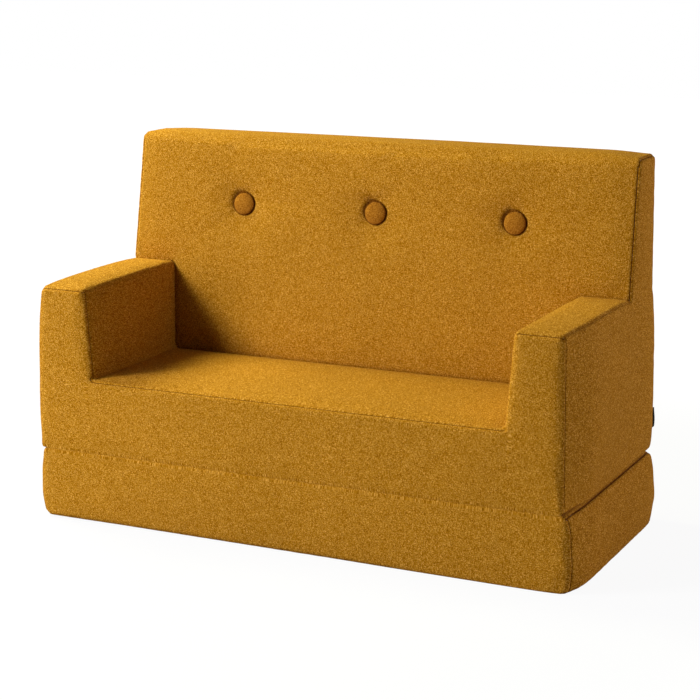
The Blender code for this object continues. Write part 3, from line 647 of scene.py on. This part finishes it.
def spreadMat(place):  # the mat's sides spread, and its lower corners are worn round
    x, y, z = place
    side = copysign(1, x)
    height = arch(z, 0, sofa.matTop)
    full = 1 if z < sofa.matTop / 2 else height
    outer = share(abs(x), sofa.innerTopX, sofa.halfWidth)
    toEnds = min(y - sofa.frontY, sofa.rearY - y)
    spread = mat.spread * height + mat.fuller * full * swell(toEnds)
    lowest = 1 - share(z, *mat.lowest)
    atFront = 1 - share(y, sofa.frontY + sofa.frontRim, 0.0)
    newX, newY, newZ = x + side * outer * spread + squaredOff(place, sofa.matTop - z), y, z
    if side > 0:
        newX += mat.rightFoot * outer * (lowest - height * byFront(y, mat.footEnd))
    newY -= mat.frontFoot * share(x, 0.0, mat.frontFootTo) * lowest * atFront
    newZ += mat.leftLift * share(-x, *mat.liftEnds) * lowest * atFront
    low = Vector((side * sofa.halfWidth, copysign(sofa.rearY, y), 0))
    worn = ease(1 - share((place - low).length, *mat.worn))
    worn *= mat.wornLeft if side < 0 else 1.0
    newX -= side * mat.wornSide * worn
    newY += worn * (-mat.wornRear if y > 0 else mat.wornFront)
    tight = mat.tight * share(x, *mat.tightEnds)
    if z < mat.tightEdge and y < sofa.frontY + mat.tightEdge:
        newY -= tight * (y - sofa.frontY)
        newZ -= tight * z
    if side > 0:
        high = share(z, mat.rightInFrom, sofa.matTop)
        newX -= mat.rightIn * outer * high * byFront(y, mat.rightInEnd)
    return Vector((newX, newY, newZ))


# how far the painted shade of a seam spreads, for the pairs of regions whose seam has painted shade
seamShade = roundTable((
    (0.0008, "front", ("armTop",)),
    (0.0006, "front", ("seat", "armInner")),
    (0.0009, "front", ("right",)),
    (0.0015, "backFront", ("right",)),
    (0.0005, "backFront", ("armTop", "left")),
    (0.0024, "base", ("left", "right")),
    (0.0024, "top", ("left", "right")),
    (0.0007, "backTop", ("left", "right")),
    (0.0006, "rear", ("left", "right", "base", "top")),
))


# the reach of a seam's painted shade; the right arm's inner front edge gets none
def seamShadeReach(pair, edge):
    if pair == frozenset(("front", "armInner")) and edge.verts[0].co.x > 0:
        return 0
    return seamShade.get(pair, 0)


def panelCorners(shape, panelOf):  # where three panels meet
    met = []
    for corner in shape.verts:
        if len({panelOf[regionOf(face)] for face in corner.link_faces} - {"open"}) > 2:
            met.append(corner.co.copy())
    return met


def seamTree(shape, panelOf, reach=None):  # points along all seams, or along those with the given reach of painted shade
    points = []
    for edge in shape.edges:
        pair = pairOf(edge)
        if len({panelOf[region] for region in pair}) > 1 and (reach is None or seamShadeReach(pair, edge) == reach):
            first, second = (corner.co for corner in edge.verts)
            count = max(int((second - first).length / cover.seamStep), 1)
            points += [first.lerp(second, step / count) for step in range(count + 1)]
    tree = kdtree.KDTree(len(points))
    for number, point in enumerate(points):
        tree.insert(point, number)
    tree.balance()
    return tree


# the cloth simulation that blows the covers out
stuffing = {
    "quality": 5, "mass": 0.25, "tension_stiffness": 18, "compression_stiffness": 18, "shear_stiffness": 8,
    "bending_stiffness": 0.6, "use_pressure": True, "uniform_pressure_force": 4, "shrink_min": -0.006,
    "vertex_group_mass": "held",
}
stuffingFrames = 20
heldAtSeams = (0.0010, 0.0075)  # the cloth is held within the first distance and free from the second


def stuffed(shape, name, panelOf, caps, tufts):
    # the cover blown out, held at its seams and tufts, each region to its own cap
    tree = seamTree(shape, panelOf)
    shape.verts.ensure_lookup_table()
    held, limits = [], []
    for corner in shape.verts:
        weight = 1 - share(tree.find(corner.co)[2], *heldAtSeams)
        for tuft in tufts:
            radius = (corner.co - tuft).length
            weight = max(weight, 1 - share(radius, button.held, button.free))
        held.append(weight)
        limits.append(sum(caps[regionOf(face)] for face in corner.link_faces) / len(corner.link_faces))
    starts = [corner.co.copy() for corner in shape.verts]
    model = objectFrom(name, shape.copy())
    group = model.vertex_groups.new(name="held")
    for number, weight in enumerate(held):
        if weight > 0:
            group.add([number], weight, "REPLACE")
    cloth = model.modifiers.new("stuffing", "CLOTH")
    for setting, value in stuffing.items():
        setattr(cloth.settings, setting, value)
    cloth.settings.effector_weights.gravity = 0
    cloth.collision_settings.use_collision = False
    scene = bpy.context.scene
    for number in range(stuffingFrames):
        scene.frame_set(number + 1)
    blown = model.evaluated_get(bpy.context.evaluated_depsgraph_get()).data
    for corner, start, limit in zip(shape.verts, starts, limits):
        move = blown.vertices[corner.index].co - start
        if move.length > 1e-7:
            corner.co = start + move.normalized() * limit * tanh(move.length / limit)
    scene.frame_set(1)
    bpy.data.objects.remove(model)
    print(name, "stuffed:", len(starts), "points")


def subdivided(shape, creased):
    crease = shape.edges.layers.float.new("crease_edge")
    for edge in shape.edges:
        if pairOf(edge) in creased:
            edge[crease] = 1
    guide = objectFrom("guide", shape)
    finer(guide)
    return evaluated(guide)


# the cloth round a button, by the distance from its centre and the turn about it: its folds, and the painted
# shade at its rim
tufting = Values(
    reach=0.040, begin=(0.0170, 0.0195), end=(0.020, 0.040),
    folds=0.00018, pinch=0.0020, pinchTurn=2.1, pinchWidth=0.35,
    hollow=0.0018, hollowTurn=2.6, hollowEnd=(0.0185, 0.0260),  # at its upper left
    ridge=0.0012, ridgeTurn=2.4, ridgeAt=0.0215, ridgeWidth=0.0022,  # at its lower right
    dark=0.0174, darkMore=0.0012, soft=1.3, softer=4.5,  # the painted shade at the button's rim, and more of it at its upper left, a painted shadow
)


def tufted(away, phase, rise, toDark):
    radius = away.length
    if radius >= tufting.reach:
        return rise, toDark
    turn = atan2(away.z, away.x)
    fade = share(radius, *tufting.begin) * (1 - share(radius, *tufting.end))
    folds = cos(7 * turn + 1.3) + 0.6 * cos(11 * turn + phase)
    pinch = exp(-((turn - tufting.pinchTurn) / tufting.pinchWidth) ** 2)
    rise += fade * (tufting.folds * folds - tufting.pinch * pinch)
    upperLeft = max(cos(turn - tufting.hollowTurn), 0)
    lowerRight = max(-cos(turn - tufting.ridgeTurn), 0)
    rise -= tufting.hollow * upperLeft * (1 - share(radius, *tufting.hollowEnd))
    offRidge = (radius - tufting.ridgeAt) / tufting.ridgeWidth
    rise += tufting.ridge * lowerRight * exp(-offRidge ** 2)
    # painted shade round the button's rim, wider and softer at its upper left, where the button's shadow
    # falls
    dark = max(radius - tufting.dark - tufting.darkMore * upperLeft, 0)
    return rise, min(toDark, dark / (tufting.soft + tufting.softer * upperLeft ** 2))


def sewn(shape, panelOf, tufts):
    # the seams drawn in, with the ridge of the allowance beside them and small puckers along them; also how
    # near each point lies to a seam's or a button rim's painted shade
    tree = seamTree(shape, panelOf)
    shadeTrees = [(reach, seamTree(shape, panelOf, reach)) for reach in sorted(set(seamShade.values()))]
    met = [point for point in panelCorners(shape, panelOf) if abs(point.z - sofa.matTop) > cover.noDogEar]
    shadeLayer = shape.verts.layers.float.new("paintedShadeDistance")
    outwardLayer = shape.verts.layers.float_vector.new("outward")
    shape.normal_update()
    for corner in shape.verts:
        outward = corner.normal.copy()
        distance = tree.find(corner.co)[2]
        spot = corner.co / cover.puckerLength
        gather = noise.noise(spot) + 0.5 * noise.noise(spot * 2.1 + Vector((7, 3, 5)))
        # painted shade: the distance to the nearest seam whose crevice is painted darker, stretched by that
        # seam's reach
        darks = [(dark.find(corner.co)[2], reach) for reach, dark in shadeTrees]
        toDark = min((apart * cover.darkWidth / reach for apart, reach in darks if apart is not None),
                     default=1.0)
        deep = 1.0 if toDark < max(distance, cover.seamStep) * 3 else cover.shallow
        rise = -cover.valley * deep * exp(-(distance / cover.valleyWidth) ** 2)
        for point in met:
            apart = (corner.co - point).length
            if apart < cover.dogEarEnd:
                rise -= cover.dogEar * exp(-(apart / cover.dogEarWidth) ** 2)
        rise += cover.ridge * exp(-((distance - cover.ridgeAt) / cover.ridgeWidth) ** 2)
        rise += cover.pucker * deep * gather * exp(-distance / cover.puckerReach)
        rise += (cover.uneven * noise.noise(corner.co / cover.unevenLength)
                 * share(distance, 0, cover.unevenFrom))
        for tuft in tufts:
            rise, toDark = tufted(corner.co - tuft, tuft.x * 40, rise, toDark)
        corner[shadeLayer] = toDark
        corner[outwardLayer] = outward
        corner.co += outward * rise
        corner.co.z = max(corner.co.z, sofa.underside)
        if corner.co.z < sofa.seatZ + sofa.creaseOver:
            corner.co.y = max(corner.co.y, sofa.creaseY)


def weavePlace(region, place):  # where a point lies on the flat cloth, each side metres apart
    x, y, z = place
    if region in ("seat", "armTop", "armInner"):
        return x + copysign(z - sofa.seatZ, x), cover.openWeave * y
    if region in ("backFront", "backTop", "rear"):
        over = y > (straight.backY + sofa.rearY) / 2
        return x + 3, (2 * sofa.topZ - z + y) if over else z + y
    if region in ("left", "right"):
        return cover.openWeave * y + 5, z
    if region in ("base", "top"):
        return x + 7, y
    return x + 9, z


def cutPanel(form, name, panelRegions):
    # one panel of the cover: drawn back at its seams, its border turned in, and given its thickness
    panel = form.copy()
    others = [face for face in panel.faces if regionOf(face) not in panelRegions]
    ops.delete(panel, geom=others, context="FACES")
    weave = panel.loops.layers.uv.new("weave")
    places = panel.verts.layers.float_vector["straight"]
    for face in panel.faces:
        for loop in face.loops:
            loop[weave].uv = weavePlace(regionOf(face), loop.vert[places])
    outwardLayer = panel.verts.layers.float_vector["outward"]
    panel.normal_update()
    rim = [edge for edge in panel.edges if edge.is_boundary]
    pulls = {}
    for edge in rim:
        loop = edge.link_loops[0]
        along = loop.link_loop_next.vert.co - loop.vert.co
        inward = loop.face.normal.cross(along).normalized()
        for corner in edge.verts:
            pulls.setdefault(corner, []).append(inward)
    for corner, inwards in pulls.items():
        total = sum(inwards, Vector())
        corner.co += total.normalized() * (cover.seamGap / max(total.length / len(inwards), cover.sharpest))
    for corner in cornersOf(ops.extrude_edge_only(panel, edges=rim)["geom"]):
        corner.co -= Vector(corner[outwardLayer]) * cover.foldDepth
    ops.recalc_face_normals(panel, faces=panel.faces[:])
    middle = max(panel.faces, key=lambda face: face.calc_area())
    if middle.normal.dot(Vector(middle.verts[0][outwardLayer])) < 0:
        ops.reverse_faces(panel, faces=panel.faces[:])
    piece = objectFrom(name, panel, finishes["cloth"])
    thickened(piece, cover.cloth, -1)
    return piece


def makeCover(name, body, shape, places, tilt, panels, caps, creased, tufts, slotZ):
    # block to cover: squares cut in, leaned into place, stuffed, made finer, sewn and cut into panels
    panelOf = {region: panel for panel, members in panels.items() for region in members}
    panelOf["open"] = "open"
    for axis, along in enumerate(places):
        cut(shape, [int(number == axis) for number in range(3)], along)
    for face in shape.faces:
        middle = face.calc_center_median()
        inside = abs(middle.x) < zipSlots.halfLength + zipSlots.spare
        if inside and abs(middle.z - slotZ) < zipSlots.halfHeight and regionOf(face) == "rear":
            setRegion(face, "open")
    for tuft in tufts:
        sinkTuft(shape, tuft)
    straightLayer = shape.verts.layers.float_vector.new("straight")
    for corner in shape.verts:
        corner[straightLayer] = corner.co
        corner.co = tilt(corner.co)
    leaned = [tilt(tuft) for tuft in tufts]
    stuffed(shape, name, panelOf, caps, leaned)
    shape = subdivided(shape, creased)
    sewn(shape, panelOf, leaned)
    print(name, "sewn:", len(shape.faces), "faces")
    for panel, members in panels.items():
        piece = cutPanel(shape, panel + "_cloth", members)
        finished(piece, body, (panel,))
    shape.free()


# how far the first squares lie from the rounded edges
clear = Values(foot=0.0125, edge=0.008, over=0.003, outer=0.0105, behind=0.0145, wide=0.0185, mat=0.0115)


def makeUpperCover():
    rounds = roundTable((
        (0.006, "front", ("armTop", "seat")),
        (0.008, "front", ("left", "right", "armInner")),
        (0.0018, "front", ("base",)),
        (0.006, "left", ("armTop", "backFront", "backTop")),
        (0.006, "right", ("armTop", "backFront", "backTop")),
        (0.007, "rear", ("left", "right")),
        (0.006, "base", ("left", "right")),
        (0.016, "base", ("rear",)),
        (0.006, "armTop", ("armInner",)),
        (0.007, "seat", ("armInner",)),
        (0.012, "backTop", ("backFront", "rear")),
    ))
    shape = rounded(upperBlock(), rounds)
    wrapFront(shape)
    half, inner, cell = sofa.halfWidth, straight.innerX, cover.cell
    columns = [inner - clear.foot]
    for x in reversed(button.xs):
        columns += [x + button.cell, x - button.cell]
    columns.append(clear.foot - inner)
    xs = divided(columns[::-1], cell)
    armXs = divided((inner + clear.edge, half - clear.outer), cell)
    xs += [side * x for side in (-1, 1) for x in armXs]
    slot, slotHalf = zipSlots.sofa, zipSlots.halfHeight
    zs = divided((sofa.baseZ + clear.wide, slot - slotHalf, slot + slotHalf, sofa.seatZ - clear.edge), cell)
    zs += divided((sofa.seatZ + clear.foot, sofa.armZ - clear.edge), cell)
    zs += divided((sofa.armZ + clear.over, button.z - button.cell, button.z + button.cell,
                   sofa.topZ - clear.behind), cell)
    ys = divided((sofa.frontY + clear.outer, straight.backY - clear.over), cell)
    ys += divided((straight.backY + clear.behind, sofa.rearY - clear.wide), cell)
    panels = {
        "front_panel": ("front",),
        "seat_gusset": ("seat", "armTop", "armInner"),
        "left_side_panel": ("left",),
        "right_side_panel": ("right",),
        "back_panel": ("backFront", "backTop", "rear"),
        "base_panel": ("base",),
    }
    caps = dict(
        front=0.0016, seat=0.0042, armTop=0.0016, armInner=0.0022, left=0.0040, right=0.0040,
        backFront=0.0042, backTop=0.0010, rear=0.0030, base=0.0002, open=0.0002,
    )
    creased = {frozenset(("backFront", region)) for region in ("seat", "armTop", "armInner")}
    tufts = [Vector((x, straight.backY, button.z)) for x in button.xs]
    makeCover("upper cover", "sofa_body", shape, (xs, ys, zs), leanUpper, panels, caps, creased, tufts, slot)


def makeMatCover():
    half, cell = sofa.halfWidth, cover.cell
    shape = block((-half, sofa.frontY, 0), (half, sofa.rearY, sofa.matTop))
    shape.normal_update()
    for face in shape.faces:
        normal = face.normal
        if abs(normal.x) > 0.5:
            region = "right" if normal.x > 0 else "left"
        elif abs(normal.y) > 0.5:
            region = "rear" if normal.y > 0 else "front"
        else:
            region = "top" if normal.z > 0 else "base"
        setRegion(face, region)
    rounds = roundTable((
        (0.008, "front", ("left", "right")),
        (0.007, "rear", ("left", "right")),
        (0.0018, "top", ("front",)),
        (0.007, "top", ("left", "right")),
        (0.016, "top", ("rear",)),
        (0.006, "base", ("front", "rear", "left", "right")),
    ))
    shape = rounded(shape, rounds)
    wrapFront(shape)
    slot, slotHalf, slotEnd = zipSlots.mat, zipSlots.halfHeight, zipSlots.halfLength
    xs = divided((clear.mat - half, -slotEnd, slotEnd, half - clear.mat), cell)
    ys = divided((sofa.frontY + clear.mat, sofa.rearY - clear.wide), cell)
    zs = divided((clear.mat, slot - slotHalf, slot + slotHalf, sofa.matTop - clear.wide), cell)
    panels = {
        "mat_top_panel": ("top",), "mat_bottom_panel": ("base",), "mat_front_panel": ("front",),
        "mat_rear_panel": ("rear",), "mat_left_panel": ("left",), "mat_right_panel": ("right",),
    }
    caps = dict(front=0.0016, rear=0.0030, left=0.0012, right=0.0012, top=0.0002, base=0.0002, open=0.0002)
    makeCover("mat cover", "mat", shape, (xs, ys, zs), spreadMat, panels, caps, set(), [], slot)


makeUpperCover()
makeMatCover()


# foam and the hidden fittings

def finerCopy(node, name, slot, body, bevelWidth=0.0, smoothAngle=35):
    shape = bmesh.new()
    shape.from_mesh(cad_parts[node].data)
    ops.remove_doubles(shape, verts=shape.verts, dist=1e-6)
    ops.dissolve_limit(shape, angle_limit=radians(0.5), verts=shape.verts, edges=shape.edges)
    piece = objectFrom(name, shape, finishes[slot], smoothAngle)
    if bevelWidth:
        bevel = piece.modifiers.new("edges", "BEVEL")
        bevel.width = bevelWidth
        bevel.segments = 2
        bevel.angle_limit = radians(30)
    return finished(piece, body, (node,))


filling = Values(follows=1.1, tuck=(-0.17, 0.0), worn=0.0040, wornLift=-0.0025)


def backFrame(x):  # a button's own place: +Z out of the reclined back
    lean = (button.z - sofa.seatZ) / (sofa.topZ - sofa.seatZ)
    y = sofa.backFootY + lean * (sofa.backTopY - sofa.backFootY)
    return Matrix.Translation((x, y, button.z)) @ Matrix.Rotation(pi / 2 - recline, 4, "X")


def pressFoam(piece):  # the back's foam gives way round each button, as deep as the cloth is drawn in
    inward = Vector((0, cos(recline), -sin(recline)))
    for x in button.xs:
        centre = backFrame(x).translation
        for corner in piece.data.vertices:
            away = corner.co - centre
            depth = away.dot(inward)
            radius = (away - inward * depth).length
            if depth < button.pressedDepth and radius < button.cell:
                corner.co += inward * button.pressed * (1 - share(radius, *button.pressedTo))


def tuckFoam(piece):  # the foam follows the drawn-in cover of the right front edge
    for corner in piece.data.vertices:
        if corner.co.x > (sofa.innerTopX + sofa.halfWidth) / 2:
            tucked = 1 - share(corner.co.y, *filling.tuck)
            corner.co.x -= filling.follows * sofa.tuckedFront * tucked


def wearFoam(piece):  # and that of the mat's rounded lower corners
    for corner in piece.data.vertices:
        if abs(corner.co.x) > sofa.innerTopX and corner.co.z < sofa.matTop / 2:
            away = (copysign(filling.worn, across) for across in corner.co.xy)
            corner.co -= Vector((*away, filling.wornLift))


def makeFillings():
    for node in ("seat_foam", "left_arm_foam", "right_arm_foam", "back_foam"):
        piece = finerCopy(node, node + "_block", "foam", "sofa_body", smoothAngle=50)
        if node == "back_foam":
            pressFoam(piece)
        else:
            tuckFoam(piece)
    wearFoam(finerCopy("mat_foam", "mat_foam_block", "foam", "mat", smoothAngle=50))
    for side in ("left", "centre", "right"):
        finerCopy(f"{side}_button_back", f"{side}_button_plate", "steel", "sofa_body", bevelWidth=0.0002)
        finerCopy(f"{side}_anchor_disc", f"{side}_anchor_plate", "plastic", "sofa_body", bevelWidth=0.0004)
    print("foam and fittings ready")


def buttonCap(x):
    radius, back, rim = button.radius, button.back, button.back + button.rim
    profile = [(0, 0, back), *((radius * part, 0, back + up) for part, up in button.rear)]
    steps = button.domeSteps
    for step in range(steps):
        turn = pi / 2 * step / steps
        out = radius * cos(turn) ** button.fullness
        profile.append((out, 0, rim + button.dome * sin(turn)))
    profile.append((0, 0, rim + button.dome))
    shape = bmesh.new()
    corners, edges = chain(shape, profile)
    ops.spin(shape, geom=corners + edges, cent=(0, 0, 0), axis=(0, 0, 1), angle=tau,
             steps=button.sides, use_merge=True)
    ops.remove_doubles(shape, verts=shape.verts, dist=1e-6)
    ops.recalc_face_normals(shape, faces=shape.faces[:])
    woven(shape, lambda place: (place.x + x, place.y), button.toSeam)
    for corner in shape.verts:
        away = Vector((corner.co.x, corner.co.y, 0))
        if away.length > radius * button.gatherFrom and corner.co.z < rim + button.gatherTo:
            turn = atan2(corner.co.y, corner.co.x)
            corner.co += away.normalized() * button.gatherDepth * cos(button.gathers * turn)
    ops.transform(shape, matrix=backFrame(x), verts=shape.verts)
    return shape


cord = Values(radius=0.0008, sides=12, cuts=48, inset=0.0001, girth=0.86, grooves=0.12, twist=60)


def twineCord(node, x):
    low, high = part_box(node)
    radius, inset = cord.radius, cord.inset
    shape = bmesh.new()
    ops.create_cone(shape, cap_ends=True, segments=cord.sides, radius1=radius, radius2=radius, depth=1)
    lengths = [edge for edge in shape.edges if abs(edge.verts[0].co.z - edge.verts[1].co.z) > 0.5]
    ops.subdivide_edges(shape, edges=lengths, cuts=cord.cuts)
    start = Vector((x, low.y + inset, high.z - radius))
    end = Vector((x, high.y - inset, low.z + radius))
    for corner in shape.verts:
        turn = atan2(corner.co.y, corner.co.x)
        girth = cord.girth + cord.grooves * cos(2 * turn - corner.co.z * cord.twist)
        away = Vector((corner.co.x, corner.co.y, 0)) * girth
        corner.co = away + Vector((0, 0, corner.co.z * (end - start).length))
    aim = (end - start).to_track_quat("Z", "X").to_matrix().to_4x4()
    ops.transform(shape, matrix=Matrix.Translation((start + end) / 2) @ aim, verts=shape.verts)
    return shape


def makeButtons():
    for side, x in zip(("left", "centre", "right"), button.xs):
        piece = objectFrom(side + "_button_cap", buttonCap(x), finishes["button_cloth"])
        finer(piece)
        finished(piece, "sofa_body", (side + "_button",))
        piece = objectFrom(side + "_twine_cord", twineCord(side + "_twine", x), finishes["twine"])
        finished(piece, "sofa_body", (side + "_twine",))
    print("buttons ready")


makeFillings()
makeButtons()


# zips, tag and crease strip

zipper = Values(
    halfLength=0.3097, halfTape=0.0057,
    tapeIn=(0.0014, 0.0003),  # how far its two faces lie inside the cover
    tapeCells=(0.0012, 0.02), tapeEnd=0.01, tapeBulge=0.0004, bulgeWidth=0.0022,
    toothPitch=0.0020, toothWidth=0.00105, toothLow=-0.0010, toothHigh=0.0024,
    toothTop=0.0012, toothFoot=0.0006, toothBevel=0.00032, firstTooth=0.0012, toothless=0.003,
)


def makeZip(prefix, body):
    z, rear, half = zipSlots[prefix], sofa.rearY, zipper.halfLength
    back, front = zipper.tapeIn
    row, column = zipper.tapeCells
    tape = block((-half, rear - back, z - zipper.halfTape), (half, rear - front, z + zipper.halfTape))
    cut(tape, (0, 0, 1), [z + step * row for step in range(-4, 5)])
    cut(tape, (1, 0, 0), divided((-half + zipper.tapeEnd, half - zipper.tapeEnd), column))
    for corner in tape.verts:
        corner.co.y += zipper.tapeBulge * exp(-((corner.co.z - z) / zipper.bulgeWidth) ** 2)
    piece = objectFrom(prefix + "_zip_tape_cloth", tape, finishes["zip_tape"], 40)
    finished(piece, body, (prefix + "_zip_tape",))
    teeth = bmesh.new()
    top, foot = zipper.toothTop, zipper.toothFoot
    for side, offset in ((1, 0.0), (-1, zipper.toothPitch / 2)):
        low, high = sorted((side * zipper.toothLow, side * zipper.toothHigh))
        made = ops.create_cube(teeth, size=1)["verts"]
        ops.scale(teeth, vec=(zipper.toothWidth, top + foot, high - low), verts=made)
        middle = (-half + zipper.firstTooth + offset, rear + (top - foot) / 2, z + (low + high) / 2)
        ops.translate(teeth, vec=middle, verts=made)
    ops.bevel(teeth, geom=teeth.edges[:], offset=zipper.toothBevel, segments=1, profile=0.5,
              affect="EDGES", material=-1)
    piece = objectFrom(prefix + "_zip_teeth", teeth, teethFinish, 60)
    row = piece.modifiers.new("row", "ARRAY")
    row.use_relative_offset = False
    row.use_constant_offset = True
    row.constant_offset_displace = (zipper.toothPitch, 0, 0)
    row.count = int((2 * half - zipper.toothless) / zipper.toothPitch)
    finished(piece, body)
    for part in ("slider", "pull"):
        node = f"{prefix}_zip_{part}"
        finerCopy(node, node + "_metal", "steel", node, bevelWidth=0.00022)


tag = Values(
    drop=0.0075,  # how much lower than the solid it hangs
    inset=0.00025, foldGap=0.0003, foldSteps=6, rows=12, wave=0.0006, waves=160, ribbon=0.0005,
)


def makeTag():
    low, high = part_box("side_tag")
    low.z -= tag.drop
    high.z -= tag.drop
    middleX, half = (low.x + high.x) / 2, (high.x - low.x) / 2 - tag.inset
    foldY = high.y - half - tag.foldGap
    path = [(middleX + half, low.y), (middleX + half, foldY)]
    for step in range(1, tag.foldSteps):
        turn = pi * step / tag.foldSteps
        path.append((middleX + half * cos(turn), foldY + half * sin(turn)))
    path += [(middleX - half, foldY), (middleX - half, low.y)]
    shape = bmesh.new()
    edges = chain(shape, [(x, y, low.z) for x, y in path])[1]
    for _ in range(tag.rows):
        pushed = ops.extrude_edge_only(shape, edges=edges)["geom"]
        corners = cornersOf(pushed)
        edges = [item for item in pushed if isinstance(item, bmesh.types.BMEdge) and item.is_boundary
                 and all(corner in corners for corner in item.verts)]
        ops.translate(shape, vec=(0, 0, (high.z - low.z) / tag.rows), verts=corners)
    for corner in shape.verts:
        reach = share(corner.co.y, low.y, high.y)
        corner.co.x += tag.wave * reach * sin((corner.co.z - low.z) * tag.waves)
    ops.recalc_face_normals(shape, faces=shape.faces[:])
    piece = objectFrom("side_tag_ribbon", shape, finishes["dark_cloth"])
    thickened(piece, tag.ribbon, 0)
    finished(piece, "sofa_body", ("side_tag",))


strip = Values(
    row=0.0003, column=0.008, end=0.005, toSeam=0.0012,
    bulge=0.0002, uneven=0.00012, unevenLength=0.012,
)


def makeCreaseStrip():
    low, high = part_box("hinge_strip")
    row, end = strip.row, strip.end
    shape = block(low, high)
    cut(shape, (0, 0, 1), divided((low.z + row, high.z - row), row))
    cut(shape, (1, 0, 0), divided((low.x + end, high.x - end), strip.column))
    woven(shape, lambda place: weavePlace("front", place), strip.toSeam)
    middle = (low.z + high.z) / 2
    for corner in shape.verts:
        bend = 1 - ((corner.co.z - middle) / (high.z - middle)) ** 2
        uneven = noise.noise(Vector((corner.co.x / strip.unevenLength, 0, 0)))
        corner.co.y += strip.bulge * bend + strip.uneven * uneven
    piece = objectFrom("crease_strip", shape, finishes["cloth"], 50)
    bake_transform(piece)
    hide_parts("hinge_strip")


makeZip("sofa", "sofa_body")
makeZip("mat", "mat")
makeTag()
makeCreaseStrip()
print("zips, tag and crease strip ready")


# studio

studio = Values(
    lens=2021.96 / 700 * 36, shift=-200 / 700, turn=0.4373, dip=0.1247, roll=-0.0002,
    place=(1.1827, -2.5184, 0.8733),
    floorWhite=0.88, floorGlow=1.06, world=0.015, floorHalf=6,
    floorFades=(0.55, 1.5),  # distances at which the floor starts to turn white and is white
)

# place, aim, size, power and colour
lamps = {
    "key": ((-2.00, -1.60, 1.80), (-0.05, 0.0, 0.25), 0.90, 83, (1.0, 1.01, 1.02)),
    "low": ((-1.45, -2.50, 0.55), (-0.05, 0.0, 0.20), 0.90, 26, (1.0, 1.0, 1.3)),
    "side": ((3.40, 2.70, 0.75), (0.1, 0.0, 0.25), 2.20, 80, (1.0, 0.88, 0.92)),
    "right": ((2.70, -0.40, 1.15), (0.0, 0.0, 0.25), 1.20, 12, (1.0, 0.90, 0.98)),
    "top": ((-1.50, 0.30, 1.60), (0.0, 0.0, 0.25), 0.90, 54, (1.0, 1.05, 0.60)),
}


def makeStudio():
    camera = bpy.data.cameras.new("camera")
    camera.sensor_width = 36
    camera.lens = studio.lens
    camera.shift_y = studio.shift
    holder = bpy.data.objects.new("camera", camera)
    bpy.context.collection.objects.link(holder)
    holder.matrix_world = (
        Matrix.Translation(studio.place) @ Matrix.Rotation(studio.turn, 4, "Z")
        @ Matrix.Rotation(pi / 2 - studio.dip, 4, "X") @ Matrix.Rotation(studio.roll, 4, "Z")
    )
    bpy.context.scene.camera = holder
    for name, (place, aim, size, power, colour) in lamps.items():
        light = bpy.data.lights.new(name, "AREA")
        light.shape = "DISK"
        light.size = size
        light.energy = power
        light.color = colour
        holder = bpy.data.objects.new(name, light)
        holder.location = place
        holder.rotation_euler = (Vector(aim) - Vector(place)).to_track_quat("-Z", "Y").to_euler()
        bpy.context.collection.objects.link(holder)

    ground = bmesh.new()
    ops.create_grid(ground, x_segments=2, y_segments=2, size=studio.floorHalf)
    floor = Finish("paleFloor", (0.42, 0.42, 0.42), {"Roughness": 0.9})
    place = floor.place()
    away = floor.add("VectorMath", {"operation": "LENGTH"}, {0: place}, output=1)
    white = floor.add("LightPath") * floor.mapped(away, *studio.floorFades, studio.floorWhite, 1.0)
    glow = floor.add("Emission", {}, {"Color": (1, 1, 1, 1), "Strength": studio.floorGlow})
    mix = floor.add("MixShader", {}, {0: white, 1: Wire(floor, floor.shader.outputs[0]), 2: glow})
    floor.feed({"Surface": mix}, floor.tree.nodes["Material Output"])
    objectFrom("floor", ground, floor.material)

    world = bpy.data.worlds.new("studio")
    world.use_nodes = True
    bpy.context.scene.world = world
    sky = Nodes(world.node_tree, "Background")
    seen = sky.add("LightPath")
    direct = seen.maths("MAXIMUM", seen, Wire(sky, seen.socket.node.outputs["Is Glossy Ray"]))
    strength = sky.add("MapRange", {}, {0: direct, 3: studio.world, 4: 1.0})
    sky.feed({"Color": (1, 1, 1, 1), "Strength": strength})
    bpy.context.scene.view_settings.view_transform = "Standard"


makeStudio()
print("studio ready")
